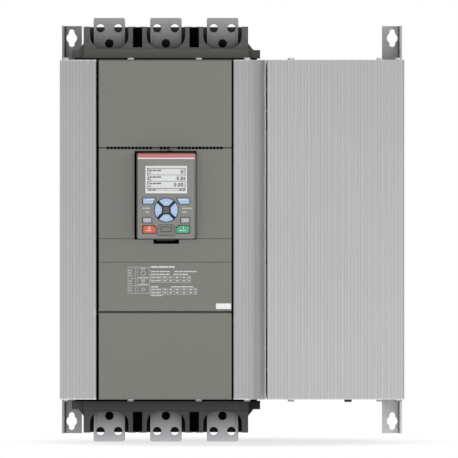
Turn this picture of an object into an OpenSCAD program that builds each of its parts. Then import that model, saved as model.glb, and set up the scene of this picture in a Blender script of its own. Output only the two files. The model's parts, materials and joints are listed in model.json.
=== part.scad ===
// Panel-mounted three-phase soft starter: a thyristor section with a keypad on the left,
// a bypass section on the right, and two steel mounting rails behind.
// x runs to the right, z up, and the front faces -y. The origin is the centre of the four
// keyholes on the mounting plane. A depth is counted from that plane towards the front.

/* [Housing] */
// Width across the aluminium covers
housing_w = 435; // [428:1:450]
// Height of the covers
housing_h = 429; // [425:1:445]
// Depth from the mounting plane to the face of the aluminium covers
housing_d = 366; // [360:1:380]
// Thickness of the folded steel sheets
sheet_t = 2; // [1.5:0.5:2.5]
// Clearance between pieces that fit into each other
fit_gap = 0.3; // [0.2:0.05:0.4]

/* [Mounting rails] */
// Reach of each rail past the covers, above and below
rail_over = 46; // [43:1:52]
// Width of the flange that lies on the mounting plane
rail_w = 25.2; // [24:0.2:30]
// Thickness of the rails
rail_t = 3; // [2.5:0.5:4]
// Depth of the flange along the outer edge
rail_flange = 40; // [30:1:45]
// Set-back of the rails from the sides of the covers
rail_inset = 0.3; // [0.2:0.1:2]
// Width and depth of the groove along a rail's fold
fold_groove = 1.5; // [0.8:0.1:2]
// Diameter of the round middle of a keyhole
keyhole_d = 13.4; // [12:0.2:15]
// Width of a keyhole's two slots
keyhole_slot = 7.2; // [6:0.2:8.4]
// Length of a keyhole from end to end
keyhole_len = 22.5; // [20:0.5:24]
// Distance from a rail's outer edge to the keyholes
keyhole_side = 12.2; // [12:0.2:14]
// Distance from a rail's end to a keyhole
keyhole_end = 15.5; // [14:0.5:20]

/* [Aluminium covers] */
// Wall of the extruded covers
cover_t = 3; // [2.5:0.5:3.5]
// Width of the left cover
left_cover_w = 46; // [44:0.5:50]
// Width of the middle cover
middle_cover_w = 41.4; // [40:0.2:44]
// Width of the bypass section's cover
bypass_cover_w = 173; // [170:1:178]
// Gap between the two sections
unit_gap = 1.6; // [1:0.2:3]
// Size of the middle cover's round corner
corner_r = 24; // [20:1:25]
// Flat strips of the round corner, whose last one is turned out as a lip
corner_steps = 4; // [3:1:8]
// Gap between the rails' flanges and the covers
rail_cover_gap = 5; // [2:1:10]
// Depth of the short webs where the two sections meet
inner_web = 60; // [50:1:80]
// Depth of the lips beside the plastic front
lip_d = 21; // [18:1:24]
// Pitch of the flutes
flute_pitch = 8.4; // [7:0.2:10]
// Width of a flute
flute_w = 4.2; // [3:0.2:5]
// Depth of a flute
flute_depth = 0.4; // [0.2:0.1:0.8]
// Bevel along the covers' front edges
edge_bevel = 1.5; // [1:0.1:2.4]

/* [Cover screws] */
// Diameter of a screw's head
screw_head_d = 8.2; // [7:0.2:9]
// Height of a screw's head
screw_head_h = 2.6; // [2:0.2:4]
// Diameter of a screw's shank
screw_d = 4.6; // [4:0.2:5]
// Length of a screw's shank
screw_len = 14; // [10:1:18]
// Outer diameter of a cover's screw channel
port_od = 9; // [8.4:0.2:10]
// Distance from a cover's face to its screw channels
port_set = 12; // [11:0.5:14]
// Distance from a cover's outer side to the corner screws
port_side = 7.6; // [7.5:0.1:9]
// Distance from the middle cover's left edge to its screw
middle_port = 17.5; // [12:0.5:18]
// Distance from the bypass cover's left edge to its left screw
bypass_port_left = 30; // [20:1:50]
// Distance from the bypass cover's right edge to its inner right screw
bypass_port_right = 31; // [22:1:50]
// Distance between the two screws of the plastic front's carrier
carrier_screws = 86; // [60:1:120]

/* [Front covers] */
// Gap between the plastic front and the aluminium covers
front_gap = 2.1; // [1:0.1:3]
// How far the plastic front stands ahead of the aluminium covers
front_proud = 2; // [1:0.5:4]
// Wall of the plastic mouldings
front_wall = 2.5; // [2:0.5:3]
// Bevel along the front's upper and lower edge
front_bevel = 1.6; // [1:0.2:2]
// Height of the middle moulding with the keypad
control_h = 205.4; // [200:0.2:214]
// Gap above the middle moulding
seam_upper = 1; // [0.8:0.2:2.4]
// Gap below the middle moulding
seam_lower = 2.8; // [1:0.2:3.2]
// Pitch of the vent notches along the upper seam
vent_pitch = 4.47; // [4:0.01:4.6]
// Width of a vent notch
vent_w = 2.4; // [1.6:0.2:3]
// Depth of a vent notch into each moulding's edge
vent_cut = 0.8; // [0.4:0.1:1.5]
// Vent notches in each long row
vent_count = 13; // [6:1:14]
// Vent notches in the short middle row
vent_middle = 3; // [1:2:5]
// Distance from the front's middle to the first notch of a long row
vent_start = 17.9; // [15:0.1:19]
// Width and depth of the shallow grooves across the middle moulding
groove = 0.8; // [0.4:0.1:1.2]
// Distance between the two grooves
groove_step = 29.9; // [25:0.1:40]

/* [Keypad] */
// Width of the keypad
keypad_w = 75.3; // [74:0.1:78]
// Height of the keypad
keypad_h = 108.8; // [108:0.2:114]
// How far the keypad stands ahead of the plastic front
keypad_proud = 13; // [10:0.5:18]
// Depth of the keypad's pocket
pocket_d = 16; // [12:0.5:17]
// Offset of the keypad from the front's middle
keypad_dx = 2; // [0:0.1:4]
// Distance from the middle moulding's upper edge to the keypad
keypad_drop = 5.9; // [5.5:0.1:10]
// Gap to the pocket on the left
pocket_gap_left = 2.35; // [1:0.05:3]
// Gap to the pocket above
pocket_gap_top = 2.5; // [1:0.1:3]
// Width of the finger recess below the keypad
finger_w = 32; // [24:1:40]
// Height of the finger recess below the keypad
finger_h = 5.4; // [4:0.2:8]
// Width of the latch recess above the keypad
latch_w = 15; // [10:1:20]
// Height of the latch recess above the keypad
latch_h = 1.4; // [1:0.1:1.8]
// Bevel round the keypad's face
keypad_bevel = 1.65; // [1:0.05:2]
// Corner radius of the keypad
keypad_r = 3; // [2.5:0.5:5]
// Wall of the keypad's shells
keypad_wall = 2.5; // [2:0.1:3]
// Depth from the keypad's face to the joint between its shells
keypad_split = 15; // [12:0.5:16]
// Width of the display window
screen_w = 52.8; // [48:0.2:56]
// Height of the display window
screen_h = 34.6; // [30:0.2:35]
// Distance from the keypad's upper edge to the window
screen_drop = 16.6; // [15:0.2:18]
// Thickness of the window
window_t = 1.4; // [1:0.1:1.6]
// Ledge that the window lies on
window_ledge = 1.5; // [1:0.1:2]
// Width of the plug on the keypad's back
plug_w = 16; // [12:1:20]
// Height of the plug on the keypad's back
plug_h = 12; // [10:1:16]
// Length of the plug on the keypad's back
plug_len = 12; // [9:0.5:12]

/* [Keys] */
// How far the keys stand ahead of the keypad's face
key_proud = 1.2; // [0.8:0.1:2]
// Travel of the keys
key_travel = 0.8; // [0.5:0.1:1]
// Gap between a key and the edge of its hole
key_gap = 0.8; // [0.6:0.05:0.9]
// Lip that holds a key behind the shell
key_lip = 1.3; // [1.2:0.05:1.4]
// Thickness of that lip
key_lip_t = 1.2; // [0.8:0.1:1.4]
// Distance from the keypad's middle to the outer edge of the key columns
key_edge = 29.5; // [29:0.1:30.4]
// Width of a soft key
softkey_w = 16.4; // [14:0.1:16.8]
// Height of a soft key
softkey_h = 7; // [6:0.1:7.4]
// Slant of a soft key's inner end
softkey_slant = 4; // [3.6:0.1:5]
// Height of the soft keys' middle, from the keypad's middle
softkey_z = -6.4; // [-6.8:0.1:-6]
// Width of a grey key
greykey_w = 11; // [10:0.1:12]
// Height of a grey key
greykey_h = 6.3; // [5:0.1:6.6]
// Height of the grey keys' middle, from the keypad's middle
greykey_z = -30.5; // [-30.8:0.1:-30.1]
// Width of the stop and start keys
runkey_w = 16.7; // [15:0.1:17]
// Height of the stop and start keys
runkey_h = 9.4; // [8:0.1:9.8]
// Cut corner of the stop and start keys
runkey_cut = 3.3; // [2:0.1:5]
// Height of the stop and start keys' middle, from the keypad's middle
runkey_z = -42.1; // [-42.5:0.1:-41.8]
// Outer radius of the arrow keys' ring
ring_r = 14.9; // [14:0.1:15.2]
// Gap between two arrow keys
ring_gap = 3; // [2:0.1:3.4]
// Distance from the ring's middle to the arrow keys' inner edges
ring_inner = 5.2; // [5:0.1:6.6]
// Width of the fixed middle of the ring
ring_middle = 7.4; // [6.6:0.1:8]
// Height of the ring's middle, from the keypad's middle
ring_z = -17.7; // [-18:0.1:-17.4]

/* [Port cover] */
// Width of the port cover
flap_w = 20.4; // [18:0.1:20.6]
// Height of the port cover
flap_h = 14.2; // [12:0.1:14.4]
// Thickness of the port cover
flap_t = 2; // [1.6:0.1:2]
// Cut upper corners of the port cover
flap_cut = 2.7; // [2:0.1:4]
// Diameter of the port cover's hinge pin
flap_pin_d = 1; // [0.8:0.1:1.1]
// Height of the port cover's middle, from the keypad's middle
flap_z = -43; // [-43.3:0.1:-42.7]
// Width of the port's socket
socket_w = 8; // [6:0.5:9]
// Height of the port's socket
socket_h = 4.4; // [3:0.2:5]

/* [Terminals] */
// Distance between two phases
phase_pitch = 72; // [70:0.5:74]
// Offset of the middle phase from the plastic front's middle
terminal_shift = 1; // [0:0.5:2]
// Width of the terminal bars
bar_w = 40; // [36:1:41]
// Thickness of the terminal bars
bar_t = 10; // [8:1:12]
// Reach of the bars past the shrouds
bar_proud = 11.2; // [8:0.1:16]
// Cut corners at the bars' ends
bar_cut = 1.5; // [1:0.5:4]
// Diameter of the lug holes' circle
lug_pcd = 26; // [24:0.5:27]
// Diameter of a lug hole
lug_hole_d = 10.5; // [9:0.5:12]
// Distance from a bar's end to the middle of its lug holes
lug_set = 19.5; // [18.5:0.5:22]

/* [Shrouds] */
// Height of a shroud
shroud_h = 27.8; // [25:0.2:32]
// Height of the base below a shroud
base_h = 12.4; // [11.5:0.1:16]
// Shadow gap between a base and the end plate
base_gap = 3.3; // [1:0.1:4]
// Width of a shroud's cell
cell_w = 49; // [46:0.5:50]
// Radius of a cell's lower corners
cell_r = 17; // [12:0.5:18]
// Wall at a shroud's two ends
shroud_end = 8.1; // [5:0.1:12]
// Wall at a shroud's back
shroud_wall = 3; // [2:0.5:4]
// Room behind a bar for a bolt's nut
nut_room = 29; // [24:1:29]
// Room ahead of a bar for a cable lug
lug_room = 21.5; // [16:0.5:28]
// Width of the slots between the cells
slot_w = 12; // [8:0.5:14]
// Floor and roof left by those slots
slot_web = 1.4; // [1:0.1:2.4]
// Width of the notch in a slot's roof
notch_w = 4.4; // [3:0.2:6]
// Reach of a base's side wings past the shroud
wing_w = 15.2; // [14:0.2:18]
// Height of those wings
wing_h = 10.6; // [8:0.2:12]
// Width of the slope between a wing and the shroud
wing_slope = 6.8; // [5:0.2:10]
// Height of that slope
wing_rise = 8.4; // [5:0.2:10]
// Set-back of the wings behind the shroud's front
wing_set = 12; // [8:1:20]

/* [Power stage] */
// Depth of a heat sink
sink_d = 120; // [117:1:126]
// Width of a heat sink
sink_w = 66; // [60:1:69]
// Room between the fans and the heat sinks
sink_room = 14.5; // [8:0.5:24]
// Thickness of a heat sink's base
sink_base = 12; // [8:1:20]
// Fins of a heat sink
fin_count = 9; // [5:1:11]
// Thickness of a fin
fin_t = 3; // [2:0.5:3.5]
// Width of a thyristor module
module_w = 60; // [50:1:66]
// Height of a thyristor module
module_h = 150; // [130:2:160]
// Depth of a thyristor module
module_d = 35; // [30:1:40]
// Distance from the middle to the bolts of the bars
bolt_z = 50; // [40:1:55]
// Diameter of those bolts
bolt_d = 10; // [8:0.5:10]
// Width of a current transformer
ct_w = 60; // [54:1:66]
// Height of a current transformer
ct_h = 26; // [20:1:30]
// Thickness of a current transformer's core around its bar
ct_wall = 10; // [8:1:14]

/* [Fans] */
// Room left around each fan
fan_margin = 4; // [2:0.5:8]
// Thickness of a fan
fan_h = 38; // [30:1:38]
// Wall left beside a fan's bore
fan_wall = 3; // [2:0.5:5]
// Distance from a fan frame's sides to its screw holes
fan_hole_set = 7; // [6:0.5:9]
// Gap between the blades and the bore
fan_tip_gap = 2; // [1:0.5:3]
// Diameter of a fan's hub
fan_hub_d = 46; // [40:1:54]
// Blades of a fan
fan_blades = 7; // [5:1:9]
// Slant of a blade
fan_slant = 38; // [25:1:45]
// Diameter of a fan's shaft
fan_shaft_d = 5; // [4:0.5:6]

/* [Bypass contactor] */
// Width of the contactor
contactor_w = 144; // [140:1:150]
// Height of the contactor
contactor_h = 210; // [190:2:210]
// Depth of the contactor's base
contactor_base_d = 95; // [80:1:110]
// Distance between two poles
pole_pitch = 48; // [46:0.5:48]
// Width of a terminal of the contactor
pole_w = 30; // [24:1:32]
// Width of a link bar
link_w = 23; // [20:0.5:24]
// Thickness of a link bar
link_t = 10; // [6:1:12]
// Distance between two link bars
link_step = 28; // [26:0.5:28.5]
// Room between a terminal bar and the link bars that cross it
link_room = 20; // [15:1:25]
// Depth of the step round the contactor's arc chamber
head_step = 25; // [20:1:30]
// Reach of the terminals past the contactor
pole_reach = 12; // [8:1:14]

/* [Control board] */
// Width of the control board
board_w = 150; // [140:1:160]
// Height of the control board
board_h = 240; // [200:2:300]
// Thickness of the boards
board_t = 1.6; // [1:0.2:2]
// Height of the control board's standoffs
standoff_h = 12; // [9:0.5:14]
// Diameter of the standoffs
standoff_d = 6; // [5:0.5:8]

/* [Vents] */
// Width of the vent slots in the end plates
vent_slot = 5; // [3:0.5:6]

/* [Grommet] */
// Diameter of the grommet's head
grommet_d = 9.4; // [8:0.2:12]
// Height of the grommet's head
grommet_h = 3.3; // [2:0.1:5]
// Distance from the bypass cover's right edge to the grommet
grommet_side = 70.9; // [60:0.1:90]
// Distance from the bypass cover's face to the grommet
grommet_set = 30; // [20:1:60]

/* [Hidden] */
$fn = 48;
// Overshoot of cuts
cut = 1;

// Heights
housing_z = housing_h / 2;
inner_z = housing_z - sheet_t;
rail_z = housing_z + rail_over;
fix_z = rail_z - keyhole_end;
base_z0 = housing_z + base_gap;
shroud_z0 = base_z0 + base_h;
shroud_z1 = shroud_z0 + shroud_h;
bar_z1 = shroud_z1 + bar_proud;

// Places across the width
housing_x = housing_w / 2;
rail_x = housing_x - rail_inset;
fix_x = rail_x - keyhole_side;
left_x = [-housing_x, -housing_x + left_cover_w];
bypass_x = [housing_x - bypass_cover_w, housing_x];
middle_x = [bypass_x[0] - unit_gap - middle_cover_w, bypass_x[0] - unit_gap];
split_x = bypass_x[0] - unit_gap / 2;
front_x = [left_x[1] + front_gap, middle_x[0] - front_gap];
front_mid = (front_x[0] + front_x[1]) / 2;
phase_mid = front_mid + terminal_shift;
phase_x = [for (k = [-1 : 1]) phase_mid + k * phase_pitch];
chassis_x = rail_x - rail_t - fit_gap;

// Depths from the mounting plane
tray_d = rail_t + sheet_t;
cover_back = rail_flange + rail_cover_gap;
tray_wall_d = cover_back + rail_cover_gap;
face_back = housing_d - cover_t;
web_back = housing_d - inner_web;
carrier_d = [housing_d - lip_d, housing_d - lip_d + sheet_t];
front_face = housing_d + front_proud;
pocket_floor = front_face - pocket_d;
module_face = tray_d + sink_d;
bar_back = module_face + module_d;
bar_face = bar_back + bar_t;
link_back = bar_face + link_room;

// Screws: covers and carrier
port_d = housing_d - port_set;
port_web = 4;
screw_bore = screw_d + 2 * fit_gap;
carrier_flange = 20;
carrier_screw_d = carrier_d[0] - carrier_flange / 2;
left_ports = [left_x[0] + port_side];
middle_ports = [middle_x[0] + middle_port];
bypass_ports = [
    bypass_x[0] + bypass_port_left,
    bypass_x[1] - bypass_port_right,
    bypass_x[1] - port_side
];
carrier_ports = [front_mid - carrier_screws / 2, front_mid + carrier_screws / 2];

// Shrouds and bases
shroud_x = [phase_x[0] - cell_w / 2 - shroud_end, phase_x[2] + cell_w / 2 + shroud_end];
cell_back = bar_back - nut_room;
shroud_back = cell_back - shroud_wall;
shroud_face = bar_face + lug_room;
base_lip = 0.5;
base_face = shroud_face + base_lip;
wing_face = shroud_face - wing_set;
foot_inset = 4;
skirt_inset = 3;
skirt_h = 9.5;
skirt_x = [shroud_x[0] + skirt_inset, shroud_x[1] - skirt_inset];
skirt_d = [shroud_back + skirt_inset, base_face - skirt_inset];
cell_sink = 0.6;
lug_z = bar_z1 - lug_set;
bar_z0 = 30;

// Keypad
control_z = control_h / 2;
keypad_x = front_mid + keypad_dx;
keypad_z = control_z - keypad_drop - keypad_h / 2;
keypad_face = front_face + keypad_proud;
keypad_back = pocket_floor + fit_gap;
shell_joint = keypad_face - keypad_split;
shell_in = keypad_face - keypad_wall;
pocket_gap = 0.45;
pocket_x = [keypad_x - keypad_w / 2 - pocket_gap_left, keypad_x + keypad_w / 2 + pocket_gap];
pocket_z = [keypad_z - keypad_h / 2 - pocket_gap, keypad_z + keypad_h / 2 + pocket_gap_top];
finger_floor = pocket_floor + 4;
groove_z = [keypad_z - keypad_h / 2 + groove, keypad_z - keypad_h / 2 + groove - groove_step];
key_back = shell_in - key_lip_t;
key_face = keypad_face + key_proud;
mat_t = 1.4;
mat_face = key_back - key_travel - 0.1;
pad_face = mat_face - mat_t;
pad_back = pad_face - board_t;
screen_z = keypad_h / 2 - screen_drop - screen_h / 2;
shell_side = 2;
cavity_w = keypad_w - 2 * shell_side;
cavity_h = keypad_h - 2 * shell_side;
post_d = 6;
post_set = 5;
plug_clear = 1;

// Port cover
flap_room = 0.4;
flap_gap = 0.2;
flap_face = keypad_face;
flap_back = flap_face - flap_t;
flap_bed = flap_back - flap_gap;
flap_r = flap_t / 2;
pin_z = flap_z - flap_h / 2 + flap_r;
pin_d = flap_face - flap_r;
pin_gap = 0.05;
seat_back = mat_face + flap_gap;
socket_gap = 0.5;

// Fans: two squares side by side, between the tray's wall and the bypass section
section_x = [-chassis_x + sheet_t, split_x - fit_gap];
section_mid = (section_x[0] + section_x[1]) / 2;
fan_room = (section_x[1] - section_x[0]) / 2;
fan_size = min(fan_room, skirt_d[0] - tray_d) - 2 * fan_margin;
fan_x = [section_mid - fan_room / 2, section_mid + fan_room / 2];
fan_d = (tray_d + skirt_d[0]) / 2;
sink_h = 2 * (inner_z - fan_h - sink_room);
fan_bore_d = fan_size - 2 * fan_wall;
fan_plate = 3.5;
fan_arm = 6;
fan_corner = fan_size / 2 - fan_hole_set;
fan_screw_d = 4.4;
rotor_z = [-inner_z + fan_plate + cut, -inner_z + fan_h - cut];
shaft_gap = 0.05;

// Contactor and links
contactor_x = (bypass_x[0] + bypass_x[1]) / 2;
pole_x = [for (k = [1 : -1 : -1]) contactor_x + k * pole_pitch];
pole_t = 10;
head_d = [tray_d + contactor_base_d, link_back - pole_t];
head_w = contactor_w - 14;
head_h = contactor_h - 2 * head_step;
pole_z = [head_h / 2, contactor_h / 2 + pole_reach];
link_gap = 1;
link_z = [for (k = [0 : 2]) housing_z - skirt_h - link_gap - link_w - k * link_step];

// Control board
board_face = carrier_d[0] - standoff_h;
board_back = board_face - board_t;
board_z = keypad_z - board_h / 12;
standoff_set = 8;

// Names of the pieces

// Block between two corners, each given as [low, high] in x, depth and z
module slab(x, d, z) {
    translate([x[0], -d[1], z[0]])
        cube([x[1] - x[0], d[1] - d[0], z[1] - z[0]]);
}

// Plan outline in [x, depth], raised from z[0] to z[1]
module rise(z) {
    translate([0, 0, z[0]])
        linear_extrude(z[1] - z[0])
            mirror([0, 1])
                children();
}

// Front outline in [x, z], run from depth d[0] to depth d[1]
module run(d) {
    translate([0, -d[0], 0])
        rotate([90, 0, 0])
            linear_extrude(d[1] - d[0])
                children();
}

// Rectangle between two corners of an outline
module area(x, y) {
    translate([x[0], y[0]])
        square([x[1] - x[0], y[1] - y[0]]);
}

// Round bar or hole along the depth
module round_y(x, z, dia, d) {
    translate([x, -d[0], z])
        rotate([90, 0, 0])
            cylinder(d = dia, h = d[1] - d[0]);
}

// Round bar or hole along the height
module round_z(x, d, dia, z) {
    translate([x, -d, z[0]])
        cylinder(d = dia, h = z[1] - z[0]);
}

module both_ends() {
    children();
    mirror([0, 0, 1])
        children();
}

// Span of a given size about a middle
function about(mid, size) = [mid - size / 2, mid + size / 2];

// Span grown by g at both ends
function grown(span, g) = [span[0] - g, span[1] + g];

// Keyhole with a round middle and a slot above and below it
module keyhole(x, z) {
    d = [-cut, rail_t + cut];
    arc = (keyhole_len - keyhole_slot) / 2;
    round_y(x, z, keyhole_d, d);
    slab(about(x, keyhole_slot), d, about(z, 2 * arc));
    for (s = [-1, 1])
        round_y(x, z + s * arc, keyhole_slot, d);
}

module rail() {
    color("gray")
        difference() {
            rise([-rail_z, rail_z]) {
                area([rail_x - rail_w, rail_x], [0, rail_t]);
                area([rail_x - rail_t, rail_x], [0, rail_flange]);
            }
            slab(
                [rail_x - rail_t - fold_groove, rail_x - rail_t],
                [rail_t - fold_groove, rail_t + cut],
                grown([-rail_z, rail_z], cut)
            );
            for (s = [-1, 1])
                keyhole(fix_x, s * fix_z);
        }
}

module rail_left() {
    mirror([1, 0, 0])
        rail();
}

// Folded tray that carries everything between the two rails
module chassis() {
    color("silver")
        rise([-inner_z, inner_z]) {
            area([-chassis_x, chassis_x], [rail_t, tray_d]);
            area([-chassis_x, -chassis_x + sheet_t], [rail_t, tray_wall_d]);
            area([chassis_x - sheet_t, chassis_x], [rail_t, tray_wall_d]);
        }
}

// Starts of the flutes that fit between a and b, centred there
function flute_starts(a, b) =
    let (n = floor((b - a - 2 * flute_w) / flute_pitch))
    let (first = (a + b - n * flute_pitch - flute_w) / 2)
    [for (i = [0 : n]) first + i * flute_pitch];

module front_flutes(x) {
    for (s = flute_starts(x[0], x[1]))
        area([s, s + flute_w], [housing_d - flute_depth, housing_d + cut]);
}

// Flutes down an outer side, where dir is -1 on the left and 1 on the right
module side_flutes(dir) {
    for (s = flute_starts(cover_back, housing_d))
        area(about(dir * housing_x, 2 * flute_depth), [s, s + flute_w]);
}

// Bevel of a cover's vertical edge at x
module edge_cut(x) {
    translate([x, housing_d])
        rotate(45)
            square(edge_bevel * sqrt(2), center = true);
}

// Bevel along the upper edge of a face at depth d
module end_cut(d, size) {
    translate([0, -d, housing_z])
        rotate([45, 0, 0])
            cube([housing_w + 2 * cut, size * sqrt(2), size * sqrt(2)], center = true);
}

module cover_end_cuts() {
    both_ends()
        end_cut(housing_d, edge_bevel);
}

// Screw channels behind a cover's face
module channels(ports) {
    for (x = ports) {
        translate([x, port_d])
            circle(d = port_od);
        area(about(x, port_web), [port_d, housing_d - cover_t / 2]);
    }
}

// Web from a corner channel to the cover's side wall
module channel_web(dir) {
    side = dir * (housing_x - cover_t / 2);
    mid = dir * (housing_x - port_side);
    area([min(side, mid), max(side, mid)], about(port_d, port_web));
}

module channel_bores(ports) {
    for (x = ports)
        both_ends()
            round_z(x, port_d, screw_bore, [inner_z - screw_len - cut, inner_z + cut]);
}

module left_cover() {
    color("lightgray")
        difference() {
            union() {
                rise([-housing_z, housing_z])
                    difference() {
                        union() {
                            area(left_x, [face_back, housing_d]);
                            area([left_x[0], left_x[0] + cover_t], [cover_back, housing_d]);
                        }
                        front_flutes(left_x);
                        side_flutes(-1);
                        edge_cut(left_x[0]);
                        edge_cut(left_x[1]);
                    }
                rise([-inner_z, inner_z]) {
                    area([left_x[1] - cover_t, left_x[1]], [carrier_d[0], face_back + cover_t / 2]);
                    channels(left_ports);
                    channel_web(-1);
                }
            }
            channel_bores(left_ports);
            cover_end_cuts();
        }
}

// Points round the middle cover's corner at radius r, over its first n strips
function corner_points(r, n) = [
    for (i = [0 : n])
        let (a = 90 * i / corner_steps)
        [middle_x[1] - corner_r + r * sin(a), housing_d - corner_r + r * cos(a)]
];

function reversed(list) = [for (i = [len(list) - 1 : -1 : 0]) list[i]];

module middle_cover() {
    round_face = corner_points(corner_r, corner_steps - 1);
    lip_face = round_face[corner_steps - 1][1];
    skin = concat(
        [[middle_x[0], face_back], [middle_x[0], housing_d]],
        round_face,
        [[middle_x[1], lip_face], [middle_x[1], web_back], [middle_x[1] - cover_t, web_back]],
        reversed(corner_points(corner_r - cover_t, corner_steps))
    );
    color("lightgray")
        difference() {
            union() {
                rise([-housing_z, housing_z])
                    difference() {
                        polygon(skin);
                        front_flutes([middle_x[0], middle_x[1] - corner_r]);
                    }
                rise([-inner_z, inner_z]) {
                    area([middle_x[0], middle_x[0] + cover_t], [carrier_d[0], face_back + cover_t / 2]);
                    channels(middle_ports);
                }
            }
            channel_bores(middle_ports);
            cover_end_cuts();
        }
}

module bypass_cover() {
    color("lightgray")
        difference() {
            union() {
                rise([-housing_z, housing_z])
                    difference() {
                        union() {
                            area(bypass_x, [face_back, housing_d]);
                            area([bypass_x[0], bypass_x[0] + cover_t], [web_back, housing_d]);
                            area([bypass_x[1] - cover_t, bypass_x[1]], [cover_back, housing_d]);
                        }
                        front_flutes(bypass_x);
                        side_flutes(1);
                        edge_cut(bypass_x[1]);
                    }
                rise([-inner_z, inner_z]) {
                    channels(bypass_ports);
                    channel_web(1);
                }
            }
            channel_bores(bypass_ports);
            cover_end_cuts();
        }
}

// Plan of the thyristor section's end plates
module end_plan() {
    side = left_x[0] + cover_t;
    tab_x = middle_ports[0] + port_od / 2;
    tab_d = port_d + port_od / 2;
    area([-chassis_x, split_x - fit_gap], [rail_t, web_back - fit_gap]);
    area([side, middle_x[1] - cover_t], [cover_back, housing_d - corner_r]);
    area([side, tab_x], [cover_back, carrier_d[0]]);
    area([side, left_x[1]], [cover_back, face_back]);
    area([middle_x[0], tab_x], [cover_back, tab_d]);
}

// Holes of the end plates for the covers' screws and the terminal base
module end_holes() {
    for (x = concat(left_ports, middle_ports))
        translate([x, port_d])
            circle(d = screw_bore);
    for (x = carrier_ports)
        translate([x, carrier_screw_d])
            circle(d = screw_bore);
    area(grown(skirt_x, fit_gap), grown(skirt_d, fit_gap));
}

// Row of vent slots over the heat sinks
module vent_slots(x, d, slot, pitch) {
    n = floor((x[1] - x[0] - slot) / pitch);
    first = (x[0] + x[1] - n * pitch - slot) / 2;
    for (i = [0 : n])
        area([first + i * pitch, first + i * pitch + slot], d);
}

module top_end_plate() {
    margin = 12;
    color("silver")
        rise([inner_z, housing_z])
            difference() {
                end_plan();
                end_holes();
                vent_slots(shroud_x, [tray_d + margin, shroud_back - margin], vent_slot, 2 * vent_slot);
            }
}

// Grille below a fan, of rings cut by two crossed arms
module fan_grille(x) {
    slot = 6;
    ring_step = 9;
    first = fan_hub_d / 2 + 2;
    last = fan_bore_d / 2 - fan_wall - slot;
    translate([x, fan_d])
        difference() {
            for (r = [first : ring_step : last])
                difference() {
                    circle(r = r + slot);
                    circle(r = r);
                }
            for (a = [45, 135])
                rotate(a)
                    square([fan_bore_d, fan_arm], center = true);
        }
}

module bottom_end_plate() {
    color("silver")
        rise([-housing_z, -inner_z])
            difference() {
                end_plan();
                end_holes();
                for (x = fan_x)
                    fan_grille(x);
            }
}

// Plan of the bypass section's end plates
module bypass_plan() {
    side = bypass_x[1] - cover_t;
    difference() {
        union() {
            area([split_x + fit_gap, chassis_x], [rail_t, web_back - fit_gap]);
            area([bypass_x[0] + cover_t, side], [cover_back, face_back]);
        }
        for (x = bypass_ports)
            translate([x, port_d])
                circle(d = screw_bore);
    }
}

vent_x = about(contactor_x, contactor_w);
vent_d = grown([tray_d, web_back], -contactor_w / 7);

module bypass_top_plate() {
    color("silver")
        rise([inner_z, housing_z])
            difference() {
                bypass_plan();
                vent_slots(vent_x, vent_d, vent_slot, 2.4 * vent_slot);
            }
}

grommet_x = bypass_x[1] - grommet_side;
grommet_at = housing_d - grommet_set;
grommet_neck = grommet_d - 3;

module bypass_bottom_plate() {
    color("silver")
        rise([-housing_z, -inner_z])
            difference() {
                bypass_plan();
                translate([grommet_x, grommet_at])
                    circle(d = grommet_neck + 2 * fit_gap);
                vent_slots(vent_x, vent_d, vent_slot, 2.4 * vent_slot);
            }
}

// Rubber grommet with a head below the plate and a flange above it
module grommet() {
    flange = 1.6;
    color("black")
        translate([grommet_x, -grommet_at, -housing_z])
            rotate_extrude()
                polygon([
                    [0, -grommet_h],
                    [grommet_d / 2 - flange / 2, -grommet_h],
                    [grommet_d / 2, -grommet_h + flange / 2],
                    [grommet_d / 2, 0],
                    [grommet_neck / 2, 0],
                    [grommet_neck / 2, sheet_t + fit_gap],
                    [grommet_d / 2, sheet_t + fit_gap],
                    [grommet_d / 2 - flange / 2, sheet_t + fit_gap + flange],
                    [0, sheet_t + fit_gap + flange]
                ]);
}

module cover_screw() {
    dome = 0.8;
    socket = 3.2;
    difference() {
        union() {
            rotate_extrude()
                polygon([
                    [0, 0],
                    [screw_head_d / 2, 0],
                    [screw_head_d / 2, screw_head_h - dome],
                    [screw_head_d / 2 - dome, screw_head_h],
                    [0, screw_head_h]
                ]);
            translate([0, 0, -screw_len])
                cylinder(d = screw_d, h = screw_len + dome);
        }
        translate([0, 0, screw_head_h / 2])
            cylinder(d = socket, h = screw_head_h, $fn = 6);
    }
}

module cover_screws() {
    color("gainsboro")
        both_ends() {
            for (x = concat(left_ports, middle_ports, bypass_ports))
                translate([x, -port_d, housing_z])
                    cover_screw();
            for (x = carrier_ports)
                translate([x, -carrier_screw_d, housing_z])
                    cover_screw();
        }
}

// Black sheet behind the plastic front, with a flange at each end
module front_carrier() {
    x = [left_x[1], middle_x[0]];
    color("darkslategray")
        difference() {
            union() {
                slab(x, carrier_d, [-inner_z, inner_z]);
                both_ends()
                    slab(x, [carrier_d[0] - carrier_flange, carrier_d[1]], [inner_z - sheet_t, inner_z]);
            }
            for (p = carrier_ports)
                both_ends()
                    round_z(p, carrier_screw_d, screw_bore, [inner_z - sheet_t - cut, inner_z + cut]);
            slab(
                about(keypad_x, plug_w + 8 * plug_clear),
                grown(carrier_d, cut),
                about(keypad_z, plug_h + 8 * plug_clear)
            );
        }
}

// Plastic moulding open at the back, on the carrier
module moulding(z) {
    difference() {
        slab(front_x, [carrier_d[1], front_face], z);
        slab(
            grown(front_x, -front_wall),
            [carrier_d[1] - cut, front_face - front_wall],
            grown(z, -front_wall)
        );
    }
}

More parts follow.
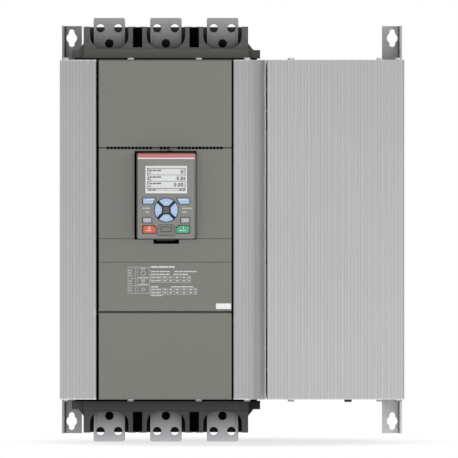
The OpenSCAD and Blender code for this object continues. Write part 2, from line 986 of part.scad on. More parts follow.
// Vent notches across the upper seam, in a short row between two long ones
module vent_notches() {
    seam = [control_z - vent_cut, control_z + seam_upper + vent_cut];
    long_row = [for (i = [0 : vent_count - 1]) vent_start + i * vent_pitch];
    short_row = [for (i = [0 : vent_middle - 1]) (i - (vent_middle - 1) / 2) * vent_pitch];
    for (s = concat(long_row, -long_row, short_row))
        slab(about(front_mid + s, vent_w), [carrier_d[1] - cut, front_face + cut], seam);
}

module upper_front_cover() {
    color("dimgray")
        difference() {
            moulding([control_z + seam_upper, housing_z]);
            end_cut(front_face, front_bevel);
            vent_notches();
        }
}

module lower_front_cover() {
    color("dimgray")
        difference() {
            moulding([-housing_z, -control_z - seam_lower]);
            mirror([0, 0, 1])
                end_cut(front_face, front_bevel);
        }
}

// Middle moulding with the keypad's pocket, finger recess and two shallow grooves
module control_cover() {
    finger_x = about(keypad_x, finger_w);
    finger_z = [pocket_z[0] - finger_h, pocket_z[0] + cut];
    tub = 2;
    color("dimgray")
        difference() {
            union() {
                moulding([-control_z, control_z]);
                slab(
                    grown(pocket_x, tub),
                    [pocket_floor - tub, front_face],
                    [pocket_z[0] - tub, pocket_z[1] + tub]
                );
                slab(grown(finger_x, tub), [finger_floor - tub, front_face], grown(finger_z, tub));
            }
            slab(pocket_x, [pocket_floor, front_face + cut], pocket_z);
            slab(finger_x, [finger_floor, front_face + cut], finger_z);
            slab(
                about(keypad_x, latch_w),
                [finger_floor, front_face + cut],
                [pocket_z[1] - cut, pocket_z[1] + latch_h]
            );
            slab(
                about(keypad_x, plug_w + 2 * plug_clear),
                [pocket_floor - tub - cut, pocket_floor + cut],
                about(keypad_z, plug_h + 2 * plug_clear)
            );
            for (z = groove_z)
                slab(grown(front_x, cut), [front_face - groove, front_face + cut], about(z, groove));
            vent_notches();
        }
}

// Slot that a terminal bar passes through
module bar_slot(x, z) {
    slab(about(x, bar_w + 2 * fit_gap), grown([bar_back, bar_face], fit_gap), z);
}

// Base of the terminals, with wings beside the shroud and a skirt through the end plate
module terminal_base() {
    wing_top = base_z0 + wing_h;
    color("dimgray")
        difference() {
            union() {
                slab(shroud_x, [shroud_back, base_face], [base_z0, shroud_z0]);
                for (s = [0, 1])
                    translate([s * (shroud_x[0] + shroud_x[1]), 0, 0])
                        mirror([s, 0, 0])
                            run([shroud_back, wing_face])
                                polygon([
                                    [shroud_x[1], base_z0],
                                    [shroud_x[1] + wing_w, base_z0],
                                    [shroud_x[1] + wing_w, wing_top],
                                    [shroud_x[1] + wing_slope, wing_top],
                                    [shroud_x[1], wing_top + wing_rise]
                                ]);
                slab(
                    grown(shroud_x, wing_w - foot_inset),
                    [shroud_back + foot_inset, wing_face - foot_inset],
                    [housing_z, base_z0]
                );
                slab(skirt_x, skirt_d, [housing_z - skirt_h, base_z0]);
            }
            for (x = phase_x)
                bar_slot(x, [housing_z - skirt_h - cut, shroud_z0 + cut]);
        }
}

// Front outline of a cell, round at its lower corners
module cell_outline() {
    low = shroud_z0 - cell_sink;
    flat = cell_w / 2 - cell_r;
    area([-flat, flat], [low - cut, shroud_z1 + cut]);
    area([-cell_w / 2, cell_w / 2], [low + cell_r, shroud_z1 + cut]);
    for (s = [-1, 1])
        translate([s * flat, low + cell_r])
            circle(r = cell_r);
}

// Open shroud with a cell for each bar and a slot between each two cells
module shroud() {
    color("dimgray")
        difference() {
            slab(shroud_x, [shroud_back, shroud_face], [shroud_z0, shroud_z1]);
            for (x = phase_x) {
                translate([x, 0, 0])
                    run([cell_back, shroud_face + cut])
                        cell_outline();
                bar_slot(x, [shroud_z0 - cut, shroud_z1 + cut]);
            }
            for (s = [-1, 1]) {
                x = phase_mid + s * phase_pitch / 2;
                slab(
                    about(x, slot_w),
                    [cell_back + 2 * shroud_wall, shroud_face + cut],
                    grown([shroud_z0, shroud_z1], -slot_web)
                );
                slab(
                    about(x, notch_w),
                    [cell_back + 2 * shroud_wall, shroud_face + cut],
                    [shroud_z1 - slot_web - cut, shroud_z1 + cut]
                );
            }
        }
}

// Flat bar from a thyristor module to its lug holes above the shroud
module terminal_bar(x) {
    color("darkgray")
        difference() {
            run([bar_back, bar_face])
                polygon([
                    [x - bar_w / 2, bar_z0],
                    [x + bar_w / 2, bar_z0],
                    [x + bar_w / 2, bar_z1 - bar_cut],
                    [x + bar_w / 2 - bar_cut, bar_z1],
                    [x - bar_w / 2 + bar_cut, bar_z1],
                    [x - bar_w / 2, bar_z1 - bar_cut]
                ]);
            for (a = [30, 150, 270])
                round_y(
                    x + lug_pcd / 2 * cos(a),
                    lug_z + lug_pcd / 2 * sin(a),
                    lug_hole_d,
                    grown([bar_back, bar_face], cut)
                );
            round_y(x, bolt_z, bolt_d + 2 * fit_gap, grown([bar_back, bar_face], cut));
        }
}

module line_bar(k) {
    terminal_bar(phase_x[k]);
}

module load_bar(k) {
    mirror([0, 0, 1])
        terminal_bar(phase_x[k]);
}

// Extruded heat sink of each phase, fins to the back
module heat_sinks() {
    fin_pitch = (sink_w - fin_t) / (fin_count - 1);
    color("silver")
        for (x = phase_x)
            rise(about(0, sink_h)) {
                area(about(x, sink_w), [module_face - sink_base, module_face]);
                for (i = [0 : fin_count - 1])
                    area(
                        about(x - sink_w / 2 + fin_t / 2 + i * fin_pitch, fin_t),
                        [tray_d, module_face - sink_base / 2]
                    );
            }
}

// Thyristor pair of each phase in one moulded block on a base plate
module thyristor_modules() {
    plate_t = 6;
    waist = 8;
    bolt_depth = 2 * bolt_d;
    color("white")
        for (x = phase_x)
            difference() {
                union() {
                    slab(about(x, module_w), [module_face, module_face + plate_t], about(0, module_h));
                    slab(about(x, module_w - waist), [module_face, bar_back], about(0, module_h - waist));
                }
                slab(about(x, module_w), [bar_back - waist, bar_back + cut], about(0, bar_z0));
                for (s = [-1, 1])
                    round_y(x, s * bolt_z, bolt_d + 2 * fit_gap, [bar_back - bolt_depth, bar_back + cut]);
            }
}

module bar_bolts() {
    bolt_head = 0.64 * bolt_d;
    shank = 1.7 * bolt_d;
    hex = 1.8;
    color("gainsboro")
        for (x = phase_x, s = [-1, 1])
            translate([x, -bar_face, s * bolt_z])
                rotate([90, 0, 0]) {
                    cylinder(d = bolt_d * hex, h = bolt_head, $fn = 6);
                    translate([0, 0, -bar_t - shank])
                        cylinder(d = bolt_d, h = bar_t + shank + bolt_head / 2);
                }
}

// Ring core around each load bar
module current_transformers() {
    mid = -(module_h / 2 + link_z[2]) / 2;
    outer = bar_t + 2 * ct_wall;
    color("black")
        for (x = phase_x)
            difference() {
                slab(about(x, ct_w), about((bar_back + bar_face) / 2, outer), about(mid, ct_h));
                slab(
                    about(x, bar_w + fit_gap),
                    about((bar_back + bar_face) / 2, bar_t + fit_gap),
                    about(mid, ct_h + 2 * cut)
                );
            }
}

module fan_frame(x) {
    z0 = -inner_z;
    color("black")
        translate([x, -fan_d, z0]) {
            difference() {
                translate([-fan_size / 2, -fan_size / 2, 0])
                    cube([fan_size, fan_size, fan_h]);
                translate([0, 0, -cut])
                    cylinder(d = fan_bore_d, h = fan_h + 2 * cut);
                for (i = [-1, 1], j = [-1, 1])
                    translate([i * fan_corner, j * fan_corner, -cut])
                        cylinder(d = fan_screw_d, h = fan_h + 2 * cut);
            }
            for (a = [45, 135])
                rotate([0, 0, a])
                    translate([-fan_bore_d / 2 - fan_wall / 2, -fan_arm / 2, 0])
                        cube([fan_bore_d + fan_wall, fan_arm, fan_plate]);
            cylinder(d = fan_hub_d, h = fan_plate);
            cylinder(d = fan_shaft_d, h = fan_h - 4 * cut);
        }
}

// Hub with slanted blades, turning on the frame's shaft
module fan_rotor(x) {
    h = rotor_z[1] - rotor_z[0];
    tip_r = fan_bore_d / 2 - fan_tip_gap;
    blade_t = 2;
    color("dimgray")
        translate([x, -fan_d, rotor_z[0]])
            difference() {
                union() {
                    cylinder(d = fan_hub_d, h = h);
                    intersection() {
                        cylinder(r = tip_r, h = h);
                        for (i = [0 : fan_blades - 1])
                            rotate([0, 0, i * 360 / fan_blades])
                                translate([fan_hub_d / 4, 0, h / 2])
                                    rotate([fan_slant, 0, 0])
                                        translate([0, -blade_t / 2, -h])
                                            cube([tip_r, blade_t, 2 * h]);
                    }
                }
                translate([0, 0, -cut])
                    cylinder(d = fan_shaft_d + 2 * shaft_gap, h = h + 2 * cut);
            }
}

module contactor_base() {
    step = 12;
    color("dimgray")
        union() {
            slab(about(contactor_x, contactor_w), [tray_d, tray_d + step], about(0, contactor_h));
            slab(
                about(contactor_x, contactor_w - step),
                [tray_d, tray_d + contactor_base_d],
                about(0, contactor_h - 2 * step)
            );
        }
}

// Arc chamber with ribs between the poles
module contactor_head() {
    rib = 6;
    rib_h = 8;
    color("darkslategray")
        union() {
            slab(about(contactor_x, head_w), head_d, about(0, head_h));
            for (s = [-1, 1])
                slab(
                    about(contactor_x + s * pole_pitch / 2, rib),
                    [head_d[0], head_d[1] + rib_h],
                    about(0, head_h)
                );
        }
}

module contactor_terminals() {
    inset = 18;
    color("peru")
        both_ends()
            for (x = pole_x)
                slab(about(x, pole_w), [head_d[1], link_back], [pole_z[0] - inset, pole_z[1]]);
}

// Bent link from a phase's bar to its pole, standing off the bars that it crosses
module link(k) {
    z = [link_z[k], link_z[k] + link_w];
    link_d = [link_back, link_back + link_t];
    foot = bar_w - 10;
    union() {
        slab([phase_x[k] - foot / 2, pole_x[k] + pole_w / 2], link_d, z);
        slab(about(pole_x[k], pole_w), link_d, [pole_z[0], z[1]]);
        slab(about(phase_x[k], foot), [bar_face, link_back + link_t], z);
    }
}

module line_links() {
    color("peru")
        for (k = [0 : 2])
            link(k);
}

module load_links() {
    color("peru")
        mirror([0, 0, 1])
            for (k = [0 : 2])
                link(k);
}

// Places of the board's standoffs, as [x, z]
standoff_at = [
    for (sx = [-1, 1], sz = [-1, 0, 1])
        [front_mid + sx * (board_w / 2 - standoff_set), board_z + sz * (board_h / 2 - standoff_set)]
];

// Populated board, with the keypad's header at its face and the tall parts at its back
module control_board() {
    header_gap = 0.8;
    header_face = keypad_back - plug_len - header_gap;
    cap_d = 22;
    cap_h = 35;
    relay = [28, 20, 30];
    color("darkgreen")
        union() {
            slab(about(front_mid, board_w), [board_back, board_face], about(board_z, board_h));
            slab(about(keypad_x, plug_w), [board_back, header_face], about(keypad_z, plug_h));
            for (i = [-1 : 1]) {
                round_y(front_mid + i * (cap_d + 8), board_z + board_h / 4, cap_d, [board_back - cap_h, board_face]);
                slab(
                    about(front_mid + i * (relay[0] + 8), relay[0]),
                    [board_back - relay[1], board_face],
                    about(board_z - board_h / 4, relay[2])
                );
            }
        }
}

module board_standoffs() {
    color("gold")
        for (p = standoff_at)
            round_y(p[0], p[1], standoff_d, [board_face, carrier_d[0]]);
}

// Everything of the keypad is drawn about its middle
module at_keypad() {
    translate([keypad_x, 0, keypad_z])
        children();
}

// Rectangle with round corners, about the middle
module round_rect(w, h, r) {
    area(about(0, w - 2 * r), about(0, h));
    area(about(0, w), about(0, h - 2 * r));
    for (i = [-1, 1], j = [-1, 1])
        translate([i * (w / 2 - r), j * (h / 2 - r)])
            circle(r = r);
}

module keypad_rear_shell() {
    d = [keypad_back, shell_joint];
    post_x = cavity_w / 2 - post_set;
    post_z = cavity_h / 2 - post_set;
    color("gray")
        at_keypad() {
            difference() {
                run(d)
                    round_rect(keypad_w, keypad_h, keypad_r);
                slab(about(0, cavity_w), [d[0] + keypad_wall, d[1] + cut], about(0, cavity_h));
            }
            for (i = [-1, 1], j = [-1, 1])
                round_y(i * post_x, j * post_z, post_d, [d[0] + keypad_wall / 2, pad_back]);
            slab(about(0, plug_w), [d[0] - plug_len, d[0] + keypad_wall / 2], about(0, plug_h));
        }
}

// Outline with its two front corners bevelled, as [across, depth]
module bevelled(size, d) {
    polygon([
        [-size / 2, d[0]],
        [size / 2, d[0]],
        [size / 2, d[1] - keypad_bevel],
        [size / 2 - keypad_bevel, d[1]],
        [-size / 2 + keypad_bevel, d[1]],
        [-size / 2, d[1] - keypad_bevel]
    ]);
}

// Block with round corners and a bevel all round its face
module keypad_form(d) {
    intersection() {
        run(d)
            round_rect(keypad_w, keypad_h, keypad_r);
        rise(about(0, keypad_h))
            bevelled(keypad_w, d);
        rotate([0, 90, 0])
            rise(about(0, keypad_w))
                bevelled(keypad_h, d);
    }
}

// Key outlines lie on the right half, grown by g
module softkey_outline(g) {
    z = grown(about(softkey_z, softkey_h), g);
    inner = key_edge - softkey_w - g;
    polygon([
        [key_edge + g, z[1]],
        [inner, z[1]],
        [inner + softkey_slant, z[0]],
        [key_edge + g, z[0]]
    ]);
}

module greykey_outline(g) {
    area(
        grown([key_edge - greykey_w, key_edge], g),
        grown(about(greykey_z, greykey_h), g)
    );
}

module runkey_outline(g) {
    x = grown([key_edge - runkey_w, key_edge], g);
    z = grown(about(runkey_z, runkey_h), g);
    polygon([
        [x[0], z[0]],
        [x[1], z[0]],
        [x[1], z[1]],
        [x[0] + runkey_cut, z[1]],
        [x[0], z[1] - runkey_cut]
    ]);
}

// Sector of the ring at quarter turn q, with its rim grown by g
module arrow_outline(q, g) {
    apex = ring_gap / sqrt(2);
    far = 2 * ring_r;
    translate([0, ring_z])
        rotate(90 * q)
            intersection() {
                circle(r = ring_r + g);
                polygon([
                    [-(ring_inner - apex), ring_inner],
                    [ring_inner - apex, ring_inner],
                    [far - apex, far],
                    [apex - far, far]
                ]);
            }
}

// Cap of a key through the shell
module cap() {
    run([key_back, key_face])
        children();
}

// Lip of a key behind the shell
module lip() {
    run([key_back, shell_in])
        children();
}

module softkey(side) {
    color("lightsteelblue")
        at_keypad()
            mirror([side, 0, 0]) {
                cap()
                    softkey_outline(0);
                lip()
                    softkey_outline(key_lip);
            }
}

module greykey(side) {
    color("silver")
        at_keypad()
            mirror([side, 0, 0]) {
                cap()
                    greykey_outline(0);
                lip()
                    greykey_outline(key_lip);
            }
}

module runkey(side, tint) {
    color(tint)
        at_keypad()
            mirror([side, 0, 0]) {
                cap()
                    runkey_outline(0);
                lip()
                    runkey_outline(key_lip);
            }
}

module arrow(q) {
    color("lightsteelblue")
        at_keypad() {
            cap()
                arrow_outline(q, 0);
            lip()
                arrow_outline(q, key_lip);
        }
}

// Outline of the port cover above its hinge, grown by g
module flap_outline(g) {
    x = flap_w / 2 + g;
    top = flap_z + flap_h / 2 + g;
    polygon([
        [-x, pin_z],
        [x, pin_z],
        [x, top - flap_cut],
        [x - flap_cut, top],
        [-x + flap_cut, top],
        [-x, top - flap_cut]
    ]);
}

module across(dia, w) {
    translate([-w / 2, -pin_d, pin_z])
        rotate([0, 90, 0])
            cylinder(d = dia, h = w);
}

// Front shell with the window's seat, the key holes and the port cover's bed and pin
module keypad_front_shell() {
    through = [shell_in - cut, keypad_face + cut];
    seat_w = flap_w + 2 * flap_room;
    bed_low = pin_z - flap_r - flap_room;
    color("darkgray")
        at_keypad() {
            difference() {
                union() {
                    difference() {
                        keypad_form([shell_joint, keypad_face]);
                        slab(about(0, cavity_w), [shell_joint - cut, shell_in], about(0, cavity_h));
                    }
                    slab(
                        about(0, seat_w),
                        [seat_back, shell_in + cut / 2],
                        [bed_low - flap_r, flap_z + flap_h / 2 + flap_room]
                    );
                }
                slab(
                    about(0, screen_w),
                    [keypad_face - window_t, keypad_face + cut],
                    about(screen_z, screen_h)
                );
                slab(
                    about(0, screen_w - 2 * window_ledge),
                    through,
                    about(screen_z, screen_h - 2 * window_ledge)
                );
                run(through) {
                    translate([0, ring_z])
                        circle(r = ring_r + key_gap);
                    for (s = [0, 1])
                        mirror([s, 0]) {
                            softkey_outline(key_gap);
                            greykey_outline(key_gap);
                            runkey_outline(key_gap);
                        }
                }
                run([flap_bed, keypad_face + cut]) {
                    flap_outline(flap_room);
                    area(about(0, seat_w), [bed_low, pin_z]);
                }
                slab(
                    about(0, socket_w + 2 * socket_gap),
                    [seat_back - cut, flap_bed + cut],
                    about(flap_z, socket_h + 2 * socket_gap)
                );
            }
            across(flap_pin_d, seat_w + flap_gap);
        }
}

// Port cover with a groove round its thumb pad, turning on the shell's pin
module port_cover() {
    thumb = [0.68 * flap_w, 0.48 * flap_h];
    thumb_groove = 0.9;
    thumb_depth = 0.6;
    color("dimgray")
        at_keypad()
            difference() {
                union() {
                    run([flap_back, flap_face])
                        flap_outline(0);
                    across(flap_t, flap_w);
                }
                across(flap_pin_d + 2 * pin_gap, flap_w + 2 * cut);
                difference() {
                    slab(
                        about(0, thumb[0]),
                        [flap_face - thumb_depth, flap_face + cut],
                        about(flap_z + flap_r, thumb[1])
                    );
                    slab(
                        about(0, thumb[0] - 2 * thumb_groove),
                        [flap_back, flap_face + 2 * cut],
                        about(flap_z + flap_r, thumb[1] - 2 * thumb_groove)
                    );
                }
            }
}

module display_window() {
    side_gap = 0.1;
    color("whitesmoke")
        at_keypad()
            slab(
                about(0, screen_w - 2 * side_gap),
                [keypad_face - window_t, keypad_face],
                about(screen_z, screen_h - 2 * side_gap)
            );
}

module display_module() {
    frame = 1.2;
    color("white")
        at_keypad()
            slab(
                about(0, screen_w + 2 * frame),
                [pad_face, shell_in - fit_gap / 2],
                about(screen_z, screen_h + 2 * frame)
            );
}

// Board on the rear shell's posts, with the port's socket
module keypad_board() {
    edge = 0.6;
    socket_wall = 0.6;
    color("darkgreen")
        at_keypad() {
            slab(about(0, cavity_w - 2 * edge), [pad_back, pad_face], about(0, cavity_h - 2 * edge));
            difference() {
                slab(about(0, socket_w), [pad_face - board_t / 2, flap_bed - flap_gap], about(flap_z, socket_h));
                slab(
                    about(0, socket_w - 2 * socket_wall),
                    [pad_face + socket_wall, flap_bed],
                    about(flap_z, socket_h - 2 * socket_wall)
                );
            }
        }
}

// Rubber mat below the keys, with the fixed middle of the ring
module key_mat() {
    edge = 1;
    mat_x = key_edge + key_lip + edge;
    mat_z = [runkey_z - runkey_h / 2 - key_lip - edge, softkey_z + softkey_h / 2 + key_lip + edge];
    window_low = screen_z - screen_h / 2 - 2 * window_ledge;
    color("midnightblue")
        at_keypad() {
            difference() {
                slab(
                    [-mat_x, mat_x],
                    [pad_face, mat_face],
                    [mat_z[0], min(mat_z[1], window_low)]
                );
                slab(
                    about(0, socket_w + 2 * socket_gap),
                    grown([pad_face, mat_face], cut),
                    about(flap_z, socket_h + 2 * socket_gap)
                );
            }
            slab(
                about(0, ring_middle),
                [mat_face - mat_t / 2, keypad_face],
                about(ring_z, ring_middle)
            );
        }
}

rail_left();
rail();  // rail_right
chassis();
left_cover();
middle_cover();
bypass_cover();
top_end_plate();
bottom_end_plate();
bypass_top_plate();
bypass_bottom_plate();
front_carrier();
upper_front_cover();
control_cover();
lower_front_cover();
terminal_base();  // top_terminal_base
mirror([0, 0, 1]) terminal_base();  // bottom_terminal_base
shroud();  // top_shroud
mirror([0, 0, 1]) shroud();  // bottom_shroud
line_bar(0);  // line_bar_1
line_bar(1);  // line_bar_2
line_bar(2);  // line_bar_3
load_bar(0);  // load_bar_1
load_bar(1);  // load_bar_2
load_bar(2);  // load_bar_3
heat_sinks();
thyristor_modules();
current_transformers();
bar_bolts();
fan_frame(fan_x[0]);  // fan_frame_left
fan_frame(fan_x[1]);  // fan_frame_right
fan_rotor(fan_x[0]);  // fan_rotor_left
fan_rotor(fan_x[1]);  // fan_rotor_right
contactor_base();
contactor_head();
contactor_terminals();
line_links();
load_links();
control_board();
board_standoffs();
cover_screws();
grommet();
keypad_rear_shell();
keypad_front_shell();
display_window();
display_module();
keypad_board();
key_mat();
softkey(1);  // softkey_left
softkey(0);  // softkey_right
arrow(0);  // arrow_up
arrow(1);  // arrow_left
arrow(2);  // arrow_down
arrow(3);  // arrow_right
greykey(1);  // help_key
greykey(0);  // mode_key
runkey(1, "tomato");  // stop_key
runkey(0, "mediumseagreen");  // start_key
port_cover();
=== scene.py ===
"""Looks of a panel-mounted soft starter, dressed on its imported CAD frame."""
import itertools
import json
import math

import bmesh
import bpy
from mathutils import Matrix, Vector


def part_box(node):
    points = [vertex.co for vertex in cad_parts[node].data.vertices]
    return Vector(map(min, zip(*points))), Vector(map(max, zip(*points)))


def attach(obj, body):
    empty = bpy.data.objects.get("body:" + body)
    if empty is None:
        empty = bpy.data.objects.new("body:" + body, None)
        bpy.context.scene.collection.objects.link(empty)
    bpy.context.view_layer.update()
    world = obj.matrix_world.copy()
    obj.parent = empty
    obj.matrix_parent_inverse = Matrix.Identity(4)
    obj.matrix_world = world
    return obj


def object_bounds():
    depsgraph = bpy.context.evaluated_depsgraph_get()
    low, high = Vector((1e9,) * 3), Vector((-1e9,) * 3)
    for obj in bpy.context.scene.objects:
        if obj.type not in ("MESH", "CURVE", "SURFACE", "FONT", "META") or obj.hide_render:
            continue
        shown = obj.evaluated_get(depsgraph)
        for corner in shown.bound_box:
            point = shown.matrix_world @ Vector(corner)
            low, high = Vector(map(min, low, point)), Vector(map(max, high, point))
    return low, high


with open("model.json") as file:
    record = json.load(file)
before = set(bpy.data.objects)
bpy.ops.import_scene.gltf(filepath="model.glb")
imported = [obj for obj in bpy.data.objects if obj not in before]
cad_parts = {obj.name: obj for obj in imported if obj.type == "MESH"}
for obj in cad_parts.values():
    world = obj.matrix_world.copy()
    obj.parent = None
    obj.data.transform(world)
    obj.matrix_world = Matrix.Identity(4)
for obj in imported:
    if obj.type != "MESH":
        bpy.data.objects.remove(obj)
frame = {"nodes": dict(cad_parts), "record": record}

CAD_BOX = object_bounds()
MM = 0.001
nodes = frame["nodes"]


def spans(node):
    """Reach of a CAD node along x, forwards and upwards, in millimetres."""
    low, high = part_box(node)
    return [(a / MM, b / MM) for a, b in ((low.x, high.x), (-high.y, -low.y), (low.z, high.z))]


def face(node):
    """How far forward a CAD node reaches, in millimetres."""
    return spans(node)[1][1]


# Nodes that are treated alike
LINE_BARS = ("line_bar_1", "line_bar_2", "line_bar_3")
LOAD_BARS = ("load_bar_1", "load_bar_2", "load_bar_3")
KEYS = (
    "softkey_left", "softkey_right", "arrow_up", "arrow_left", "arrow_down", "arrow_right",
    "help_key", "mode_key", "stop_key", "start_key",
)

# Places in millimetres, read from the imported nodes
FRONT_FACE = face("control_cover")
COVER_FACE = face("left_cover")
KEYPAD_FACE = face("keypad_front_shell")
DISPLAY_FACE = face("display_module")
KEY_FACE = face("stop_key")
PORT_FACE = face("port_cover")
SHROUD_FACE = face("top_shroud")
(KEYPAD_LEFT, KEYPAD_RIGHT), _, (KEYPAD_FOOT, KEYPAD_TOP) = spans("keypad_front_shell")
KEYPAD_X = (KEYPAD_LEFT + KEYPAD_RIGHT) / 2
KEYPAD_Z = (KEYPAD_FOOT + KEYPAD_TOP) / 2
(FRONT_LEFT, FRONT_RIGHT), _, (_, VENT_Z) = spans("control_cover")
(_, LEFT_EDGE), _, (_, HOUSING_Z) = spans("left_cover")
MIDDLE_EDGE, SECTION_EDGE = spans("middle_cover")[0]
BYPASS_EDGE = spans("bypass_cover")[0][1]
SEAM_Z = spans("lower_front_cover")[2][1]
SHROUD_X, _, (SHROUD_FOOT, SHROUD_END) = spans("top_shroud")
COLLAR_END = spans("top_terminal_base")[2][1]
BAR_END = spans("line_bar_1")[2][1]
BAR_X = [spans(bar)[0] for bar in LINE_BARS]
RAIL_EDGE = spans("rail_right")[0][1]

# Sizes in millimetres that the part's source has too, or that follow from its sizes
RAIL_T = 3.0
BASE_GAP = 3.3
# Width of the lip at the end of the middle cover's turn, which carries a painted highlight
LIP = 1.9
# Places across of the middle cover's turn, its crease and its end, where its painted shade and light
# change
TURN = (27.4, 35.2, 40.4)
CORNER_R = 24.0
CORNER_STRIPS = 4
SKIN_T = 3.0
TAB_X = 23.5
TAB_D = COVER_FACE - 7.5
FLUTE_PITCH = 8.4
FLUTE_W = 4.2
VENT_PITCH = 4.47
VENT_W = 2.4
VENT_CUT = 0.8

# End of the short row of vents, then start and end of the long rows, in pitches from the middle
VENT_ROWS = (1.5, 3.5, 16.5)

# Sizes in millimetres of the pieces that are made here
PRINT_T = 0.05
SCREEN_T = 0.04
LINE_T = 0.1
BAND_T = 0.12
PRINT_LIFT = 0.01
WORD_GAP = 0.7
WEB_GAP = 0.1

# Half the width of the painted shade line along a flute's edge, as a share of the flutes' pitch
FLUTE_LINE = 0.06
# Length of the slope on which painted shade darkens the middle cover before its turn, in millimetres
TURN_SHADE_W = 12.4
# Height of the finest lines and grit in metal, in metres
FINE_BUMP = 0.00004
SAND_BUMP = 0.00006


class Value:
    """A shader socket that takes part in plain arithmetic."""

    def __init__(self, owner, socket):
        self.owner = owner
        self.socket = socket

    def math(self, operation, *others):
        terms = dict(enumerate((self, *others)))
        return self.owner.add("Math", {"operation": operation}, terms)

    def flipped(self, operation, other):
        return self.owner.add("Math", {"operation": operation}, {0: other, 1: self})

    def __add__(self, other):
        return self.math("ADD", other)

    def __sub__(self, other):
        return self.math("SUBTRACT", other)

    def __rsub__(self, other):
        return self.flipped("SUBTRACT", other)

    def __mul__(self, other):
        return self.math("MULTIPLY", other)

    def __truediv__(self, other):
        return self.math("DIVIDE", other)

    def __rtruediv__(self, other):
        return self.flipped("DIVIDE", other)

    def __gt__(self, other):
        return self.math("GREATER_THAN", other)

    def __lt__(self, other):
        return self.math("LESS_THAN", other)

    def __abs__(self):
        return self.math("ABSOLUTE")

    def fraction(self):
        return self.math("FRACT")

    __radd__ = __add__
    __rmul__ = __mul__


class Shading:
    """A tree of shader nodes, built one node at a time."""

    def __init__(self, tree):
        self.tree = tree

    def add(self, kind, settings=None, sockets=None, out=0):
        """One node: its type, its settings, and the values or links of its sockets."""
        node = self.tree.nodes.new("ShaderNode" + kind)
        for key, value in (settings or {}).items():
            setattr(node, key, value)
        for key, value in (sockets or {}).items():
            self.give(node.inputs[key], value)
        return Value(self, node.outputs[out]) if node.outputs else None

    def give(self, socket, value):
        """Links a socket, or sets its number, vector or colour."""
        if isinstance(value, Value):
            self.tree.links.new(value.socket, socket)
        elif socket.type == "RGBA":
            socket.default_value = (*value[:3], 1.0)
        else:
            socket.default_value = value


class Finish(Shading):
    """A node material around one shader, written as expressions on its sockets."""

    def __init__(self, name, **fixed):
        self.material = bpy.data.materials.new(name)
        self.material.use_nodes = True
        super().__init__(self.material.node_tree)
        self.shader = self.tree.nodes["Principled BSDF"]
        self.place = self.add("TexCoord", out="Object")
        for socket, value in fixed.items():
            self.feed(socket.replace("_", " "), value)

    def feed(self, socket, value):
        """Links or sets one of the shader's sockets."""
        self.give(self.shader.inputs[socket], value)

    def axis(self, name):
        """One coordinate of the place on the surface, in metres."""
        return self.add("SeparateXYZ", None, {0: self.place}, name)

    def tilt(self, name):
        """One component of the direction that the surface faces."""
        facing = self.add("TexCoord", out="Normal")
        return self.add("SeparateXYZ", None, {0: facing}, name)

    def faces_front(self, share=0.5):
        """1 where the surface faces the front by more than a share."""
        return self.tilt("Y") < -share

    def behind(self, depth):
        """1 where the surface lies further back than a depth in millimetres."""
        return self.axis("Y") > -depth * MM

    def inside(self, name, low, high):
        """1 where a coordinate lies between two values in millimetres."""
        spot = self.axis(name)
        return (spot > low * MM) * (spot < high * MM)

    def area(self, x0, x1, z0, z1):
        """1 in an upright rectangle in millimetres, at any depth."""
        return self.inside("X", x0, x1) * self.inside("Z", z0, z1)

    def toned(self, colour, level):
        """Colour times a grey level."""
        settings = {"data_type": "RGBA", "blend_type": "MULTIPLY"}
        return self.add("Mix", settings, {0: 1.0, 6: colour, 7: level}, 2)

    def mix(self, factor, low, high):
        """Colour between two colours."""
        return self.add("Mix", {"data_type": "RGBA"}, {0: factor, 6: low, 7: high}, 2)

    def noise(self, scale, detail=3.0, roughness=0.5):
        """Noise with its own scale along x, y and z, per metre."""
        spot = self.add("Mapping", None, {"Vector": self.place, "Scale": scale})
        sockets = {"Vector": spot, "Scale": 1.0, "Detail": detail, "Roughness": roughness}
        return self.add("TexNoise", None, sockets)

    def cells(self, scale):
        """Grey level of each cell of a patchwork, as of crystals in a zinc coat."""
        sockets = {"Vector": self.place, "Scale": scale, "Randomness": 1.0}
        return self.add("SeparateColor", None, {0: self.add("TexVoronoi", None, sockets, "Color")})

    def bump(self, height, strength, distance):
        """Normal of a surface with a height in metres."""
        sockets = {"Strength": strength, "Distance": distance, "Height": height}
        return self.add("Bump", None, sockets, "Normal")

    def plain(self):
        """The shader itself, to mix with another one."""
        return Value(self, self.shader.outputs[0])

    def show(self, surface):
        """Puts another surface in the shader's place."""
        self.give(self.tree.nodes["Material Output"].inputs["Surface"], surface)


def shade(colour, factor):
    """A colour made darker or paler."""
    return tuple(min(1.0, c * factor) for c in colour)


def ramp(value, low, high):
    """0 at one place and 1 at another, both in millimetres."""
    return (value - low * MM) / ((high - low) * MM)


def drawn_metal(name, colour, metallic, roughness):
    """Drawn or turned metal with fine lines along its height."""
    finish = Finish(name, Metallic=metallic)
    streak = finish.noise((1400, 1400, 5), 4.0, 0.65)
    cloud = finish.noise((14, 14, 9), 2.0)
    tone = streak * 0.55 + cloud * 0.45
    finish.feed("Base Color", finish.mix(tone, shade(colour, 0.88), shade(colour, 1.12)))
    finish.feed("Roughness", streak * 0.16 + (roughness - 0.08))
    finish.feed("Normal", finish.bump(streak, 0.12, FINE_BUMP))
    return finish


def copper_gap_shade(name, colour):
    """Rolled copper, painted black as shade where it passes from one section to the other behind the gap
    between the covers.
    """
    finish = Finish(name)
    streak = finish.noise((5, 900, 900), 4.0, 0.65)
    # Painted shade: the copper near black where it passes the gap between the middle and bypass covers
    unshaded = 1.0 - finish.inside("X", SECTION_EDGE - 10.0, SECTION_EDGE + 12.0)
    finish.feed("Base Color", finish.toned(colour, unshaded * (streak * 0.3 + 0.83) + 0.02))
    finish.feed("Metallic", unshaded * 0.8)
    finish.feed("Roughness", streak * 0.16 + 0.37)
    finish.feed("Normal", finish.bump(streak, 0.12, FINE_BUMP))
    return finish


